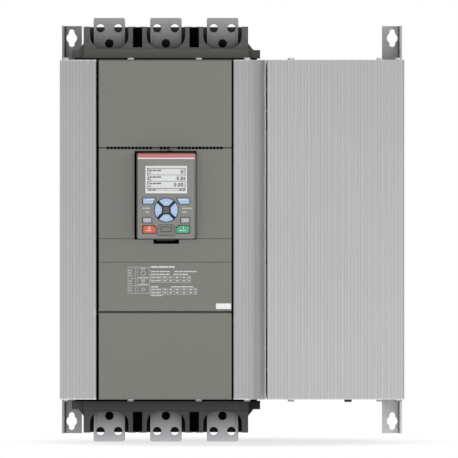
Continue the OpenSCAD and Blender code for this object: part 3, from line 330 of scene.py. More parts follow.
def flute_edge_shade(finish, low, high):
    """Painted shade: dark lines down both edges of each flute on a front between two places across."""
    count = math.floor((high - low - 2 * FLUTE_W) / FLUTE_PITCH)
    first = (low + high - count * FLUTE_PITCH - FLUTE_W) / 2
    last = first + count * FLUTE_PITCH + FLUTE_W
    step = (ramp(finish.axis("X"), first, first + FLUTE_PITCH) + FLUTE_LINE).fraction()
    near_edge = step < 2 * FLUTE_LINE
    far_edge = abs(step - FLUTE_W / FLUTE_PITCH - FLUTE_LINE) < FLUTE_LINE
    return (near_edge * 0.15 + far_edge * 0.1) * finish.inside("X", first - 1.0, last + 1.0)


def fluted_aluminium(name, colour):
    """Drawn aluminium with painted shade along the flutes' edges, towards the middle cover's turn and in
    its gaps, painted light on the turn's facets and painted highlights on its edges.
    """
    finish = Finish(name, Metallic=0.15)
    streak = finish.noise((900, 900, 4), 4.0, 0.6)
    cloud = finish.noise((9, 9, 6), 2.0)
    x, up = finish.axis("X"), finish.tilt("Z")
    front = finish.faces_front(0.4)
    turn, crease, end = TURN
    middle = finish.inside("X", MIDDLE_EDGE, SECTION_EDGE + 0.2)
    bypass = x > SECTION_EDGE * MM
    level = 1.01 + (streak - 0.5) * 0.34 + (cloud - 0.5) * 0.1 + bypass * 0.1
    # The flutes' floors a little darker; painted shade darkens the middle cover towards its turn
    level = level - finish.behind(COVER_FACE - 0.2) * 0.015
    level = level - middle * ramp(x, MIDDLE_EDGE, SECTION_EDGE) * 0.12

    # Painted shade along the flutes' edges, and on the middle cover before and round its turn
    lines = flute_edge_shade(finish, -BYPASS_EDGE, LEFT_EDGE) + flute_edge_shade(finish, MIDDLE_EDGE, turn)
    lines = lines + flute_edge_shade(finish, SECTION_EDGE + 1.6, BYPASS_EDGE)
    turn_shade = finish.inside("X", turn - TURN_SHADE_W, turn) * ramp(x, turn - TURN_SHADE_W, turn)
    turn_shade = middle * (turn_shade + (x > turn * MM))
    level = level - lines * front - turn_shade * 0.08

    # Painted shade and painted light on the facets of the middle cover's turn: the first facet darker
    # then paler across it, the second paler
    first = finish.inside("X", turn, crease) * (ramp(x, turn, crease) * 0.45 - 0.16)
    second = finish.inside("X", crease, end) * (ramp(x, crease, end) * 0.7 + 0.5)
    level = level * (1.0 + first + second)

    # Painted highlights: on the lip at the turn's end, on slopes of the front that face left, on the top
    # and bottom edges, brightest on the top ones and weaker on the bypass cover, and along the left
    # cover's right edge; at the bypass cover's right edge a painted highlight and painted shade beyond
    # it
    lip = finish.inside("X", SECTION_EDGE - LIP, SECTION_EDGE + 0.2)
    bevel = front * (abs(up) > 0.4) * (1.0 + (up > 0.0) * 0.5) * (1.0 - bypass * 0.3)
    edge = front * finish.inside("X", LEFT_EDGE - 1.7, LEFT_EDGE)
    side = front * (finish.tilt("X") < -0.4)
    corner = finish.inside("X", BYPASS_EDGE - 3.7, BYPASS_EDGE - 2.5) * 0.17
    corner = corner - (x > (BYPASS_EDGE - 2.5) * MM) * 0.24
    level = level + lip * 0.85 + side * 0.35 + bevel * 0.9 + edge + corner

    # Painted shade in the gap at the middle cover's left edge and on the joint to the bypass cover
    gap = finish.inside("X", MIDDLE_EDGE - 0.1, MIDDLE_EDGE + 0.9) * 0.9
    joint = finish.inside("X", SECTION_EDGE + 1.5, SECTION_EDGE + 2.1) * finish.faces_front(0.3)
    level = level * (1.0 - gap - joint * 0.6)
    finish.feed("Base Color", finish.toned(colour, level))
    finish.feed("Roughness", streak * 0.14 + 0.4)
    finish.feed("Normal", finish.bump(streak, 0.1, FINE_BUMP))
    return finish


def zinc_plate(name, colour):
    """Galvanised sheet with pale crystals, its front edge painted black as shade where it shows in the
    gaps above and below the front mouldings.
    """
    finish = Finish(name, Metallic=0.3)
    crystal = finish.cells(160)
    cloud = finish.noise((22, 22, 22), 3.0)
    tone = crystal * 0.35 + cloud * 0.65
    # Painted shade: faces to the front near the housing's top and bottom, over the front mouldings,
    # painted nearly black
    gap_shade = finish.faces_front() * (abs(finish.axis("Z")) > (HOUSING_Z - 4.0) * MM)
    gap_shade = gap_shade * finish.inside("X", LEFT_EDGE - 1.0, MIDDLE_EDGE + 1.0)
    level = (tone * 0.28 + 0.86) * (1.0 - gap_shade * 0.95)
    finish.feed("Base Color", finish.toned(colour, level))
    finish.feed("Roughness", crystal * 0.12 + 0.36)
    finish.feed("Normal", finish.bump(cloud, 0.05, 0.0003))
    return finish


def rail_plate(name, colour):
    """Galvanised rail with painted shade in the groove along its fold, and painted shade and light that
    make the left rails darker, the right ones paler and all of them darker upwards.
    """
    finish = Finish(name, Metallic=0.3)
    crystal = finish.cells(160)
    sand = finish.noise((900, 900, 900), 3.0, 0.7)
    x, z = finish.axis("X"), finish.axis("Z")
    left = x < 0.0
    fold = (abs(x) > (RAIL_EDGE - 2 * RAIL_T) * MM) * (abs(x) < (RAIL_EDGE - RAIL_T) * MM)
    fold = fold * finish.inside("Y", -RAIL_T + 0.2, -0.2)
    level = 0.82 + crystal * 0.14 + sand * 0.22
    # Painted shade and light: the left rails darker and the right ones paler, all darker upwards
    level = level - left * (z * 0.35 + 0.165) + (1.0 - left) * (0.18 - z * 0.65)
    # Painted shade in the groove along the fold, stronger on the left
    level = level * (1.0 - fold * (0.5 + left * 0.35))
    finish.feed("Base Color", finish.toned(colour, level))
    finish.feed("Roughness", sand * 0.14 + 0.38)
    finish.feed("Normal", finish.bump(sand, 0.15, SAND_BUMP))
    return finish


def grained(name, roughness, grain=2600, depth=0.05, **fixed):
    """Plastic or rubber with a fine eroded grain: the finish, its grain and its clouds."""
    finish = Finish(name, **fixed)
    fine = finish.noise((grain, grain, grain), 2.0)
    cloud = finish.noise((18, 18, 18), 3.0)
    finish.feed("Roughness", cloud * 0.12 + fine * 0.06 + (roughness - 0.09))
    finish.feed("Normal", finish.bump(fine, 0.25, depth * MM))
    return finish, fine, cloud


def moulded(name, colour, roughness=0.55, grain=2600, spread=0.06):
    """Plain moulded plastic, rubber, paper or print."""
    finish, fine, cloud = grained(name, roughness, grain)
    tone = fine * 0.5 + cloud * 0.5
    finish.feed("Base Color", finish.mix(tone, shade(colour, 1 - spread), shade(colour, 1 + spread)))
    return finish


def carrier_sheet(name, colour):
    """Sheet behind the front, painted black as shade where it shows in the gaps, with a grey strip of
    painted light along the lower seam.
    """
    finish, fine, _ = grained(name, 0.7, Specular_IOR_Level=0.05)
    # Painted light along the lower seam; elsewhere the sheet is painted black as shade
    strip = finish.area(FRONT_LEFT + 1.4, FRONT_RIGHT - 0.2, SEAM_Z - 1.0, SEAM_Z + 4.0)
    finish.feed("Base Color", finish.toned(colour, strip * (0.9 + fine * 0.2) + 0.016))
    return finish


def port_moulding(name, colour):
    """Grained plastic with painted shade in the grooves of the flap."""
    finish, fine, cloud = grained(name, 0.52)
    # Painted shade: the grooves' floors painted dark
    groove = finish.behind(PORT_FACE - 0.3)
    level = (0.94 + fine * 0.06 + cloud * 0.06) * (1.0 - groove * 0.88)
    finish.feed("Base Color", finish.toned(colour, level))
    return finish


def vent_shade(finish):
    """Masks for painted shade at the vents along the upper seam: the vents and a strip round their
    edges, to be painted black, and the seam between them, to be painted darker.
    """
    short_end, long_start, long_end = VENT_ROWS
    middle = (FRONT_LEFT + FRONT_RIGHT) / 2
    step = abs(ramp(finish.axis("X"), middle, middle + VENT_PITCH))
    row = step < long_end
    # Each vent's mask reaches past its opening, so shade is painted on the face round it
    vent = row * (abs((step + 0.5).fraction() - 0.5) < (VENT_W / 2 + 0.35) / VENT_PITCH)
    vent = vent * (1.0 - (step > short_end) * (step < long_start))
    vent = vent * finish.inside("Z", VENT_Z - VENT_CUT - 0.6, VENT_Z + VENT_CUT + 1.3)
    seam = row * (1.0 - vent) * finish.inside("Z", VENT_Z - 0.7, VENT_Z + 1.6)
    return vent, seam


def front_moulding(name, colour):
    """Grained grey plastic with painted shade: black in its vents, recesses and gaps and along its left
    rim, darker in its seams and round the keypad, and painted light that makes it paler towards the top.
    """
    finish, fine, cloud = grained(name, 0.55, Specular_IOR_Level=0.0, Coat_Roughness=0.5)
    x, z = finish.axis("X"), finish.axis("Z")
    low, high = KEYPAD_Z - 54.0, KEYPAD_Z + 54.0
    beside = finish.area(KEYPAD_RIGHT - 1.0, KEYPAD_RIGHT + 4.0, low, high)
    above = finish.area(KEYPAD_LEFT + 1.0, KEYPAD_RIGHT - 1.0, KEYPAD_TOP - 0.5, KEYPAD_TOP + 2.4)
    above = above * (1.0 - finish.inside("X", KEYPAD_X - 9.0, KEYPAD_X + 6.0))
    ledge = finish.area(KEYPAD_X - 12.6, KEYPAD_X + 11.0, KEYPAD_FOOT - 2.1, KEYPAD_FOOT + 0.5)
    latch = finish.area(KEYPAD_X - 12.0, KEYPAD_X + 12.0, KEYPAD_TOP + 2.4, KEYPAD_TOP + 6.0)
    latch = latch * finish.behind(FRONT_FACE - 0.5)
    bay = finish.area(KEYPAD_LEFT + 3.0, KEYPAD_RIGHT - 3.0, KEYPAD_FOOT + 3.0, KEYPAD_TOP - 3.0)
    walls = finish.area(KEYPAD_LEFT - 3.0, KEYPAD_RIGHT + 1.0, KEYPAD_FOOT - 8.0, KEYPAD_TOP + 4.0)
    walls = walls * (1.0 - finish.faces_front())
    seam = finish.inside("Z", SEAM_Z - 1.0, SEAM_Z + 4.0)
    vent, vent_seam_shade = vent_shade(finish)

    # Painted shade: recess floors, the left rim and the vents painted black
    recess_shade = finish.behind(FRONT_FACE - 1.2) * finish.inside("Z", 1.5 - HOUSING_Z, HOUSING_Z - 1.5)
    recess_shade = recess_shade * (1.0 - walls) * (1.0 - latch)
    rim = x < (FRONT_LEFT + 1.4) * MM
    deep = 1.0 - (1.0 - recess_shade) * (1.0 - rim) * (1.0 - vent)
    # Painted shade round the keypad, darkest beside it
    near = 1.0 - abs(x - KEYPAD_X * MM) / ((KEYPAD_RIGHT - KEYPAD_X + 9.0) * MM)
    near = near * (near > 0.0) * finish.inside("Z", KEYPAD_FOOT, high)
    # Painted light: paler towards the top and in the latch recess above the keypad; painted shade on the
    # seam between the vents
    level = 0.875 + fine * 0.05 + cloud * 0.05 + z * 0.39
    level = level - near * 0.75 - vent_seam_shade * 0.5 + latch * 0.45
    # Painted light: less black where shade is painted in the gap beside the keypad, on the lower seam,
    # the ledge, the bay and the line above the keypad
    paler = beside * 0.36 + seam * 0.3 + ledge * 0.55 + bay * 0.4 + above * 0.2
    finish.feed("Base Color", finish.toned(colour, level - deep * (0.9 - paler)))
    # No sheen where shade is painted black, except on the lower seam and in the bay
    finish.feed("Coat Weight", 1.0 - deep * (1.0 - seam * 0.8 - bay * 0.7))
    return finish


def keypad_moulding(name, colour):
    """Grained plastic with painted shade on its bevels, most round the keys, along its right edge and on
    bevels that face left.
    """
    finish, fine, cloud = grained(name, 0.5)
    across = finish.tilt("X")
    lower = finish.behind(KEYPAD_FACE - 0.15)
    right = finish.axis("X") > (KEYPAD_RIGHT - 3.0) * MM
    keys = finish.area(KEYPAD_X - 33.0, KEYPAD_X + 33.0, KEYPAD_Z - 48.0, KEYPAD_Z + 1.5)
    # Painted shade: the bevels darker, most round the keys, and a band along the right edge
    level = 0.95 + fine * 0.05 + cloud * 0.05 - lower * (0.28 + keys * 0.5) - right * 0.25
    # Painted shade on bevels that face left
    level = level - lower * (across < -0.3) * (across > -0.9) * 0.6
    finish.feed("Base Color", finish.toned(colour, level))
    return finish


def key_moulding(name, colour):
    """Moulded key with painted shade round its edge, most of all on the left and below."""
    finish, fine, cloud = grained(name, 0.5)
    # Painted shade round the edge, darker where it faces left or down
    edge = finish.behind(KEY_FACE - 0.02)
    shaded = (finish.tilt("X") + finish.tilt("Z")) < -0.3
    level = 0.94 + fine * 0.06 + cloud * 0.06 - edge * (0.65 + shaded * 0.25)
    finish.feed("Base Color", finish.toned(colour, level))
    return finish


def shroud_moulding(name, colour):
    """Coarse grey plastic with painted shade and light: paler away from the housing, darker on the lower
    shroud, black inside its cells.
    """
    finish, fine, cloud = grained(name, 0.6, 1500, 0.07, Specular_IOR_Level=0.0, Coat_Roughness=0.55)
    x, z = finish.axis("X"), finish.axis("Z")
    height = abs(z)
    low = z < 0.0
    start = HOUSING_Z + BASE_GAP
    left, right = SHROUD_X
    outer = height > SHROUD_FOOT * MM
    rise = ramp(height, SHROUD_FOOT, SHROUD_END)
    climb = ramp(height, start, SHROUD_FOOT)
    collar = height < COLLAR_END * MM
    # Painted shade and light: paler away from the housing, paler still up to the end of the base's
    # collar, and darker on the lower shroud
    level = outer * (0.464 - low * 0.09 + rise * (0.349 - low * 0.12))
    level = level * (1.0 + collar * (0.45 - low * 0.3))
    level = level + (1.0 - outer) * (0.752 - low * 0.54 + climb * (0.094 + low * 0.15))
    level = level * (1.0 - low * 0.6) * (0.92 + fine * 0.08 + cloud * 0.08)

    # Painted shade on the seam between the shroud and its base; painted light on the left wing and
    # painted shade on the right one
    seam = (height > (SHROUD_FOOT - 1.0) * MM) * (height < (SHROUD_FOOT + 0.2) * MM)
    left_wing = x < (left - 1.0) * MM
    right_wing = x > (right + 1.0) * MM
    level = level * (1.0 - seam * (0.16 + low * 0.17))
    level = level * (1.0 + left_wing * (0.1 + low * 0.45) - right_wing * (0.25 + low * 0.35))

    # Painted shade: the cells' floors black, lifted to grey towards the bar ends beside each bar, and
    # the foot in the gap below the base painted black
    cell = outer * finish.inside("X", left + 1.0, right - 1.0)
    cell = cell * finish.behind(SHROUD_FACE - 3.0) * finish.faces_front()
    bay = sum(finish.inside("X", bar_left - 6.0, bar_right + 6.0) for bar_left, bar_right in BAR_X)
    foot = height < (start - 0.1) * MM
    shadow = 0.95 - bay * rise * (0.65 - low * 0.4)
    lit = (1.0 - cell * shadow) * (1.0 - foot * 0.95)
    finish.feed("Base Color", finish.toned(colour, level * lit))
    # No sheen where shade is painted black, and less on the lower right wing
    finish.feed("Coat Weight", lit * (1.0 - right_wing * low * 0.6))
    return finish


def plated_bar(name, colour):
    """Tin on copper: sandy, with painted shade where the bar leaves the housing and painted light
    towards its end, paler on the lower bars.
    """
    finish = Finish(name, Metallic=0.2)
    sand = finish.noise((2400, 2400, 2400), 3.0, 0.7)
    cloud = finish.noise((40, 40, 18), 3.0)
    tone = sand * 0.6 + cloud * 0.4
    z = finish.axis("Z")
    # Painted shade near the housing fading to painted light at the bar's end; the lower bars painted
    # paler
    reach = ramp(abs(z), SHROUD_FOOT, BAR_END)
    level = (reach * 0.9 + 0.17) * (tone * 0.4 + 0.8) * (0.93 + (z < 0.0) * 0.24)
    finish.feed("Base Color", finish.toned(colour, level))
    finish.feed("Roughness", sand * 0.2 + 0.34)
    finish.feed("Normal", finish.bump(sand, 0.3, SAND_BUMP))
    return finish


def domed_screw(name, colour):
    """Zinc-plated screw with painted shade round the side of its head, and the lower screws painted
    darker except where they face straight down.
    """
    finish = Finish(name)
    grit = finish.noise((700, 700, 700), 4.0, 0.65)
    # Painted shade on the head's sides and over the lower screws
    side = abs(finish.tilt("X")) > 0.6
    under = (finish.axis("Z") < -(HOUSING_Z + 1.0) * MM) * (finish.tilt("Z") > -0.9)
    level = (0.98 + grit * 0.12) * (1.0 - side * 0.4) * (1.0 - under * 0.8)
    finish.feed("Base Color", finish.toned(colour, level))
    finish.feed("Roughness", grit * 0.16 + 0.32)
    finish.feed("Normal", finish.bump(grit, 0.12, FINE_BUMP))
    return finish


def lit_display(name):
    """White surround of a pale liquid-crystal field with a faint dot grid."""
    finish = Finish(name, Roughness=0.3)
    field = finish.area(KEYPAD_X - 24.6, KEYPAD_X + 24.6, KEYPAD_Z + 6.2, KEYPAD_Z + 35.6)
    dots = finish.noise((3000, 3000, 3000), 1.0)
    glow = finish.noise((30, 30, 30), 2.0)
    paper = finish.mix(dots, (0.90, 0.90, 0.90), (0.95, 0.95, 0.95))
    crystal = finish.mix(glow * 0.6 + dots * 0.4, (0.67, 0.68, 0.68), (0.81, 0.82, 0.82))
    finish.feed("Base Color", finish.mix(field, paper, crystal))
    return finish


def clear_window(name):
    """Clear acrylic with faint smudges."""
    finish = Finish(name, Base_Color=(0.92, 0.94, 0.95), Alpha=0.08)
    smudge = finish.noise((60, 60, 90), 4.0)
    finish.feed("Roughness", smudge * 0.16 + 0.12)
    return finish


def key_bed(name, rubber, plastic):
    """Dark rubber mat whose middle button, the only part near the face, is plastic grey."""
    finish, fine, _ = grained(name, 0.6)
    raised = finish.axis("Y") < -(KEYPAD_FACE - 0.6) * MM
    dark = finish.mix(fine, shade(rubber, 0.9), shade(rubber, 1.1))
    pale = finish.mix(fine, shade(plastic, 0.95), shade(plastic, 1.05))
    finish.feed("Base Color", finish.mix(raised, dark, pale))
    return finish


GREY_FRONT = (0.186, 0.189, 0.165)
GREY_KEYPAD = (0.222, 0.222, 0.210)

# One finish for each material slot of the record
finishes = {
    "cover": fluted_aluminium("fluted_aluminium", (0.38, 0.38, 0.38)),
    "steel": zinc_plate("zinc_sheet", (0.46, 0.47, 0.47)),
    "rail": rail_plate("zinc_rail", (0.36, 0.362, 0.37)),
    "carrier": carrier_sheet("black_sheet", (0.25, 0.25, 0.25)),
    "front_plastic": front_moulding("front_moulding", GREY_FRONT),
    "shroud_plastic": shroud_moulding("shroud_moulding", (0.150, 0.151, 0.138)),
    "bar": plated_bar("tinned_bar", (0.33, 0.33, 0.345)),
    "copper": copper_gap_shade("copper_gap_shade", (0.42, 0.25, 0.17)),
    "heat_sink": drawn_metal("sink_aluminium", (0.5, 0.5, 0.5), 0.8, 0.42),
    "module": moulded("module_casing", (0.66, 0.66, 0.63), 0.5),
    "transformer": moulded("core_casing", (0.04, 0.04, 0.044), 0.5),
    "fan_frame": moulded("fan_casing", (0.02, 0.02, 0.021), 0.5),
    "fan_rotor": moulded("fan_blades", (0.03, 0.03, 0.031), 0.45),
    "contactor": moulded("contactor_casing", (0.09, 0.09, 0.095), 0.55),
    "arc_chamber": moulded("arc_chamber", (0.16, 0.16, 0.175), 0.55),
    "board": moulded("solder_mask", (0.02, 0.13, 0.055), 0.35, 900, 0.15),
    "brass": drawn_metal("turned_brass", (0.62, 0.46, 0.2), 0.9, 0.34),
    "screw": domed_screw("zinc_screw", (0.95, 0.95, 0.94)),
    "grommet": moulded("grommet_rubber", (0.012, 0.012, 0.012), 0.6),
    "keypad": keypad_moulding("keypad_face", GREY_KEYPAD),
    "keypad_back": moulded("keypad_back", (0.17, 0.17, 0.165), 0.55),
    "mat": key_bed("key_bed", (0.028, 0.045, 0.075), (0.105, 0.1, 0.085)),
    "blue_key": key_moulding("blue_key", (0.425, 0.575, 0.81)),
    "grey_key": key_moulding("grey_key", (0.46, 0.44, 0.49)),
    "red_key": key_moulding("red_key", (0.64, 0.114, 0.058)),
    "green_key": key_moulding("green_key", (0.060, 0.39, 0.205)),
    "display": lit_display("lit_display"),
    "window": clear_window("clear_window"),
    "port": port_moulding("port_cover", shade(GREY_KEYPAD, 0.8)),
}
white_print = moulded("white_print", (0.88, 0.88, 0.87), 0.5, 2000, 0.04)
grey_print = moulded("grey_print", (0.66, 0.66, 0.64), 0.5, 2000, 0.05)
black_print = moulded("black_print", (0.02, 0.021, 0.024), 0.5, 2000, 0.1)
red_print = moulded("red_print", (0.57, 0.135, 0.142), 0.42, 2000, 0.05)
paper_label = moulded("paper_label", (0.92, 0.92, 0.91), 0.6, 1200, 0.03)

for entry in frame["record"]["subparts"]:
    dressed = nodes[entry["node"]]
    dressed.data.materials.clear()
    dressed.data.materials.append(finishes[entry["material_slot"]].material)

# Worn edges: the nodes that have a rounded edge of each width, in millimetres
EDGES = {
    0.2: ("keypad_front_shell", "port_cover"),
    0.25: ("left_cover", "middle_cover", "bypass_cover"),
    0.3: ("keypad_rear_shell", "cover_screws"),
    0.35: ("upper_front_cover", "control_cover", "lower_front_cover"),
    0.4: ("rail_left", "rail_right"),
    0.45: KEYS,
    0.5: ("top_shroud", "bottom_shroud", *LINE_BARS, *LOAD_BARS),
    0.6: ("top_terminal_base", "bottom_terminal_base"),
}
EDGE_STEPS = 2
EDGE_ANGLE = math.radians(28)
WELD_REACH = 0.000002


def wear_edge(name, width):
    """Joins a node's loose points and rounds its sharp edges."""
    weld = nodes[name].modifiers.new("weld", "WELD")
    weld.merge_threshold = WELD_REACH
    edge = nodes[name].modifiers.new("edge", "BEVEL")
    edge.width = width * MM
    edge.segments = EDGE_STEPS
    edge.limit_method = "ANGLE"
    edge.angle_limit = EDGE_ANGLE
    edge.harden_normals = True


for width, worn in EDGES.items():
    for name in worn:
        wear_edge(name, width)


class Sheet:
    """Thin flat piece on a face that looks to the front, drawn in millimetres."""

    def __init__(self, depth, thick=PRINT_T, about=(0.0, 0.0)):
        self.mesh = bmesh.new()
        self.back = depth + PRINT_LIFT
        self.front = depth + thick
        self.about = about

    def spot(self, x, z, depth):
        middle_x, middle_z = self.about
        return self.mesh.verts.new(((x + middle_x) * MM, -depth * MM, (z + middle_z) * MM))

    def outline(self, points):
        """Prism over an outline that runs anticlockwise as seen from the front."""
        front = [self.spot(x, z, self.front) for x, z in points]
        back = [self.spot(x, z, self.back) for x, z in points]
        self.prism(front, back)

    def prism(self, front, back):
        """Closed prism between two rings, the first anticlockwise as seen from outside."""
        self.mesh.faces.new(front)
        self.mesh.faces.new(back[::-1])
        for i in range(len(front)):
            j = (i + 1) % len(front)
            self.mesh.faces.new((front[i], back[i], back[j], front[j]))

    def bar(self, x0, x1, z0, z1):
        self.outline([(x0, z0), (x1, z0), (x1, z1), (x0, z1)])

    def border(self, outer, inner):
        """Flat frame between two rectangles, each as two places across and two heights."""
        x0, x1, z0, z1 = outer
        left, right, foot, top = inner
        self.bar(x0, x1, top, z1)
        self.bar(x0, x1, z0, foot)
        self.bar(x0, left, foot, top)
        self.bar(right, x1, foot, top)

    def frame(self, x0, x1, z0, z1, line):
        """Line of a given width round a rectangle."""
        self.border((x0, x1, z0, z1), (x0 + line, x1 - line, z0 + line, z1 - line))

    def rounded(self, x0, x1, z0, z1, r, steps=5):
        """Rectangle with round corners."""
        centres = ((x1 - r, z0 + r), (x1 - r, z1 - r), (x0 + r, z1 - r), (x0 + r, z0 + r))
        points = []
        for quarter, (x, z) in enumerate(centres):
            for i in range(steps + 1):
                a = math.radians(90 * (quarter - 1 + i / steps))
                points.append((x + r * math.cos(a), z + r * math.sin(a)))
        self.outline(points)

    def ring(self, x, z, rx, rz, line, steps=20):
        """Oval line of a given width."""
        for i in range(steps):
            a, b = (2 * math.pi * (i + k) / steps for k in (0, 1))
            self.outline([
                (x + rx * math.cos(a), z + rz * math.sin(a)),
                (x + rx * math.cos(b), z + rz * math.sin(b)),
                (x + (rx - line) * math.cos(b), z + (rz - line) * math.sin(b)),
                (x + (rx - line) * math.cos(a), z + (rz - line) * math.sin(a)),
            ])

    def arrow(self, x, z, size, turn):
        """Small triangle that points up, turned anticlockwise by so many quarters."""
        a = math.radians(90 * turn)
        points = ((0, size), (-size, -0.6 * size), (size, -0.6 * size))
        self.outline([
            (x + px * math.cos(a) - pz * math.sin(a), z + px * math.sin(a) + pz * math.cos(a))
            for px, pz in points
        ])

    def wrap(self, x0, x1, path):
        """Strip along x over a path of depths and heights that runs upwards."""
        lift = self.front - self.back
        for (d0, z0), (d1, z1) in zip(path, path[1:]):
            corners = ((x0, d0, z0), (x1, d0, z0), (x1, d1, z1), (x0, d1, z1))
            front = [self.spot(x, z, d + lift) for x, d, z in corners]
            back = [self.spot(x, z, d + PRINT_LIFT) for x, d, z in corners]
            self.prism(front, back)

    def words(self, x0, x1, z, height, lengths):
        """Row of plain dashes in place of words."""
        at = x0
        for length in itertools.cycle(lengths):
            if at + length > x1:
                break
            self.bar(at, at + length, z - height / 2, z + height / 2)
            at += length + WORD_GAP

    def piece(self, name, body, finish, slot):
        """Turns the drawing into a piece that rides on a body."""
        mesh = bpy.data.meshes.new(name)
        self.mesh.to_mesh(mesh)
        self.mesh.free()
        mesh.materials.append(finish.material)
        made = bpy.data.objects.new(name, mesh)
        bpy.context.scene.collection.objects.link(made)
        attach(made, body)


# The keypad's print is drawn about its middle
KEYPAD = (KEYPAD_X, KEYPAD_Z)

# Band over the keypad's upper bevel, and the line below it
band = Sheet(KEYPAD_FACE, BAND_T, KEYPAD)
band.wrap(-36.2, 36.2, ((KEYPAD_FACE, 48.5), (KEYPAD_FACE, 52.75), (KEYPAD_FACE - 0.9, 53.65)))
band.piece("keypad_band", "keypad", red_print, "red_key")
line = Sheet(KEYPAD_FACE, LINE_T, KEYPAD)
line.bar(-35.9, 35.6, 46.8, 48.3)
line.piece("keypad_line", "keypad", white_print, "display")

# White border printed round the window
bezel = Sheet(KEYPAD_FACE, PRINT_T, KEYPAD)
bezel.border((-26.2, 26.2, 3.4, 38.0), (-24.4, 24.4, 6.2, 35.6))
bezel.piece("window_border", "keypad", white_print, "display")

# What the display shows: a frame that leaves room for an arrow at each side
SCREEN_X = (-24.2, 24.2)
SCREEN_Z = (9.2, 35.5)
SCREEN_LINE = 0.8
SIDE_ARROW_Z = 22.0
SIDE_ARROW_ROOM = 2.6
screen = Sheet(DISPLAY_FACE, SCREEN_T, KEYPAD)
inner_z = (SCREEN_Z[0] + SCREEN_LINE, SCREEN_Z[1] - SCREEN_LINE)
screen.bar(*SCREEN_X, inner_z[1], SCREEN_Z[1])
screen.bar(*SCREEN_X, SCREEN_Z[0], inner_z[0])
for x in (SCREEN_X[0], SCREEN_X[1] - SCREEN_LINE):
    screen.bar(x, x + SCREEN_LINE, inner_z[0], SIDE_ARROW_Z - SIDE_ARROW_ROOM)
    screen.bar(x, x + SCREEN_LINE, SIDE_ARROW_Z + SIDE_ARROW_ROOM, inner_z[1])
screen.arrow(-22.9, SIDE_ARROW_Z, 1.9, 1)
screen.arrow(23.0, SIDE_ARROW_Z, 1.8, 3)

# Three rows with a number each, whose digits are ovals, and a row for the soft keys
DIGIT = {"rx": 1.7, "rz": 2.6, "line": 1.25}
DIGIT_STEP = 3.6
POINT_STEP = 1.5
for z in (26.3, 18.3):
    screen.bar(-22.2, 22.6, z, z + 0.7)
screen.bar(-22.3, -21.9, 10.0, 34.9)
for z, places in ((32.3, 0), (23.9, 1), (15.9, 2)):
    screen.words(-21.4, -5.4, z, 1.9, (3.4, 4.6, 5.6))
    screen.words(-21.4, -18.6, z - 3.3, 1.5, (2.2,))
    x = 19.8
    for digit in range(places + 1):
        screen.ring(x, z - 1.6, **DIGIT)
        x -= DIGIT_STEP
        if digit == places - 1:
            screen.bar(x + 1.5, x + 2.4, z - 4.1, z - 3.2)
            x -= POINT_STEP
screen.words(-22.4, -13.2, 7.6, 1.7, (4.0, 4.2))
screen.words(16.2, 24.2, 7.6, 1.7, (4.4, 2.8))
screen.bar(-0.3, 0.3, 6.8, 8.4)
screen.piece("display_print", "keypad", black_print, "display")

# Small marks printed beside the keys
marks = Sheet(KEYPAD_FACE, PRINT_T, KEYPAD)
marks.words(-29.6, -20.6, -15.4, 1.3, (3.4, 4.6))
marks.words(-26.0, -20.6, -20.1, 1.3, (4.4,))
marks.words(20.3, 34.0, -15.4, 1.3, (6.0, 5.2))
marks.words(20.3, 27.4, -20.3, 1.3, (5.6,))
marks.piece("keypad_marks", "keypad", grey_print, "display")


def key_mark():
    """Sheet for the mark on a key."""
    return Sheet(KEY_FACE, PRINT_T, KEYPAD)


# Marks on the keys: triangles on the arrow keys, which stand round one point, then a painted highlight
# on each soft key, and rings
ARROW_KEYS_Z = -17.7
ARROW_KEYS_REACH = 9.6
ARROW_MARK = 1.3
for name, side, up, turn in (
    ("arrow_up", 0, 1, 0),
    ("arrow_left", -1, 0, 1),
    ("arrow_down", 0, -1, 2),
    ("arrow_right", 1, 0, 3),
):
    mark = key_mark()
    mark.arrow(side * ARROW_KEYS_REACH, ARROW_KEYS_Z + up * ARROW_KEYS_REACH, ARROW_MARK, turn)
    mark.piece(name + "_mark", name, white_print, "display")
# The white bar near the top of each soft key is a painted highlight of its upper bevel
for name, left, right in (("softkey_left", -25.2, -15.6), ("softkey_right", 15.6, 25.2)):
    mark = key_mark()
    mark.bar(left, right, -4.6, -3.7)
    mark.piece(name + "_mark", name, white_print, "display")
for name, x in (("help_key", -24.0), ("mode_key", 24.0)):
    mark = key_mark()
    mark.ring(x, -30.7, 1.3, 1.3, 0.5)
    mark.piece(name + "_mark", name, grey_print, "display")

# Marks on the stop and start keys, with a row of dashes below
KEY_WORDS_Z = -43.5
KEY_WORDS_H = 1.1
KEY_WORDS = (1.6, 1.4, 1.5)
stop = key_mark()
stop.ring(-21.5, -39.9, 1.7, 1.7, 0.5)
stop.words(-25.0, -17.4, KEY_WORDS_Z, KEY_WORDS_H, KEY_WORDS)
stop.piece("stop_key_mark", "stop_key", white_print, "display")
start = key_mark()
start.bar(21.4, 22.0, -41.7, -38.2)
start.words(16.8, 25.4, KEY_WORDS_Z, KEY_WORDS_H, KEY_WORDS)
start.piece("start_key_mark", "start_key", white_print, "display")

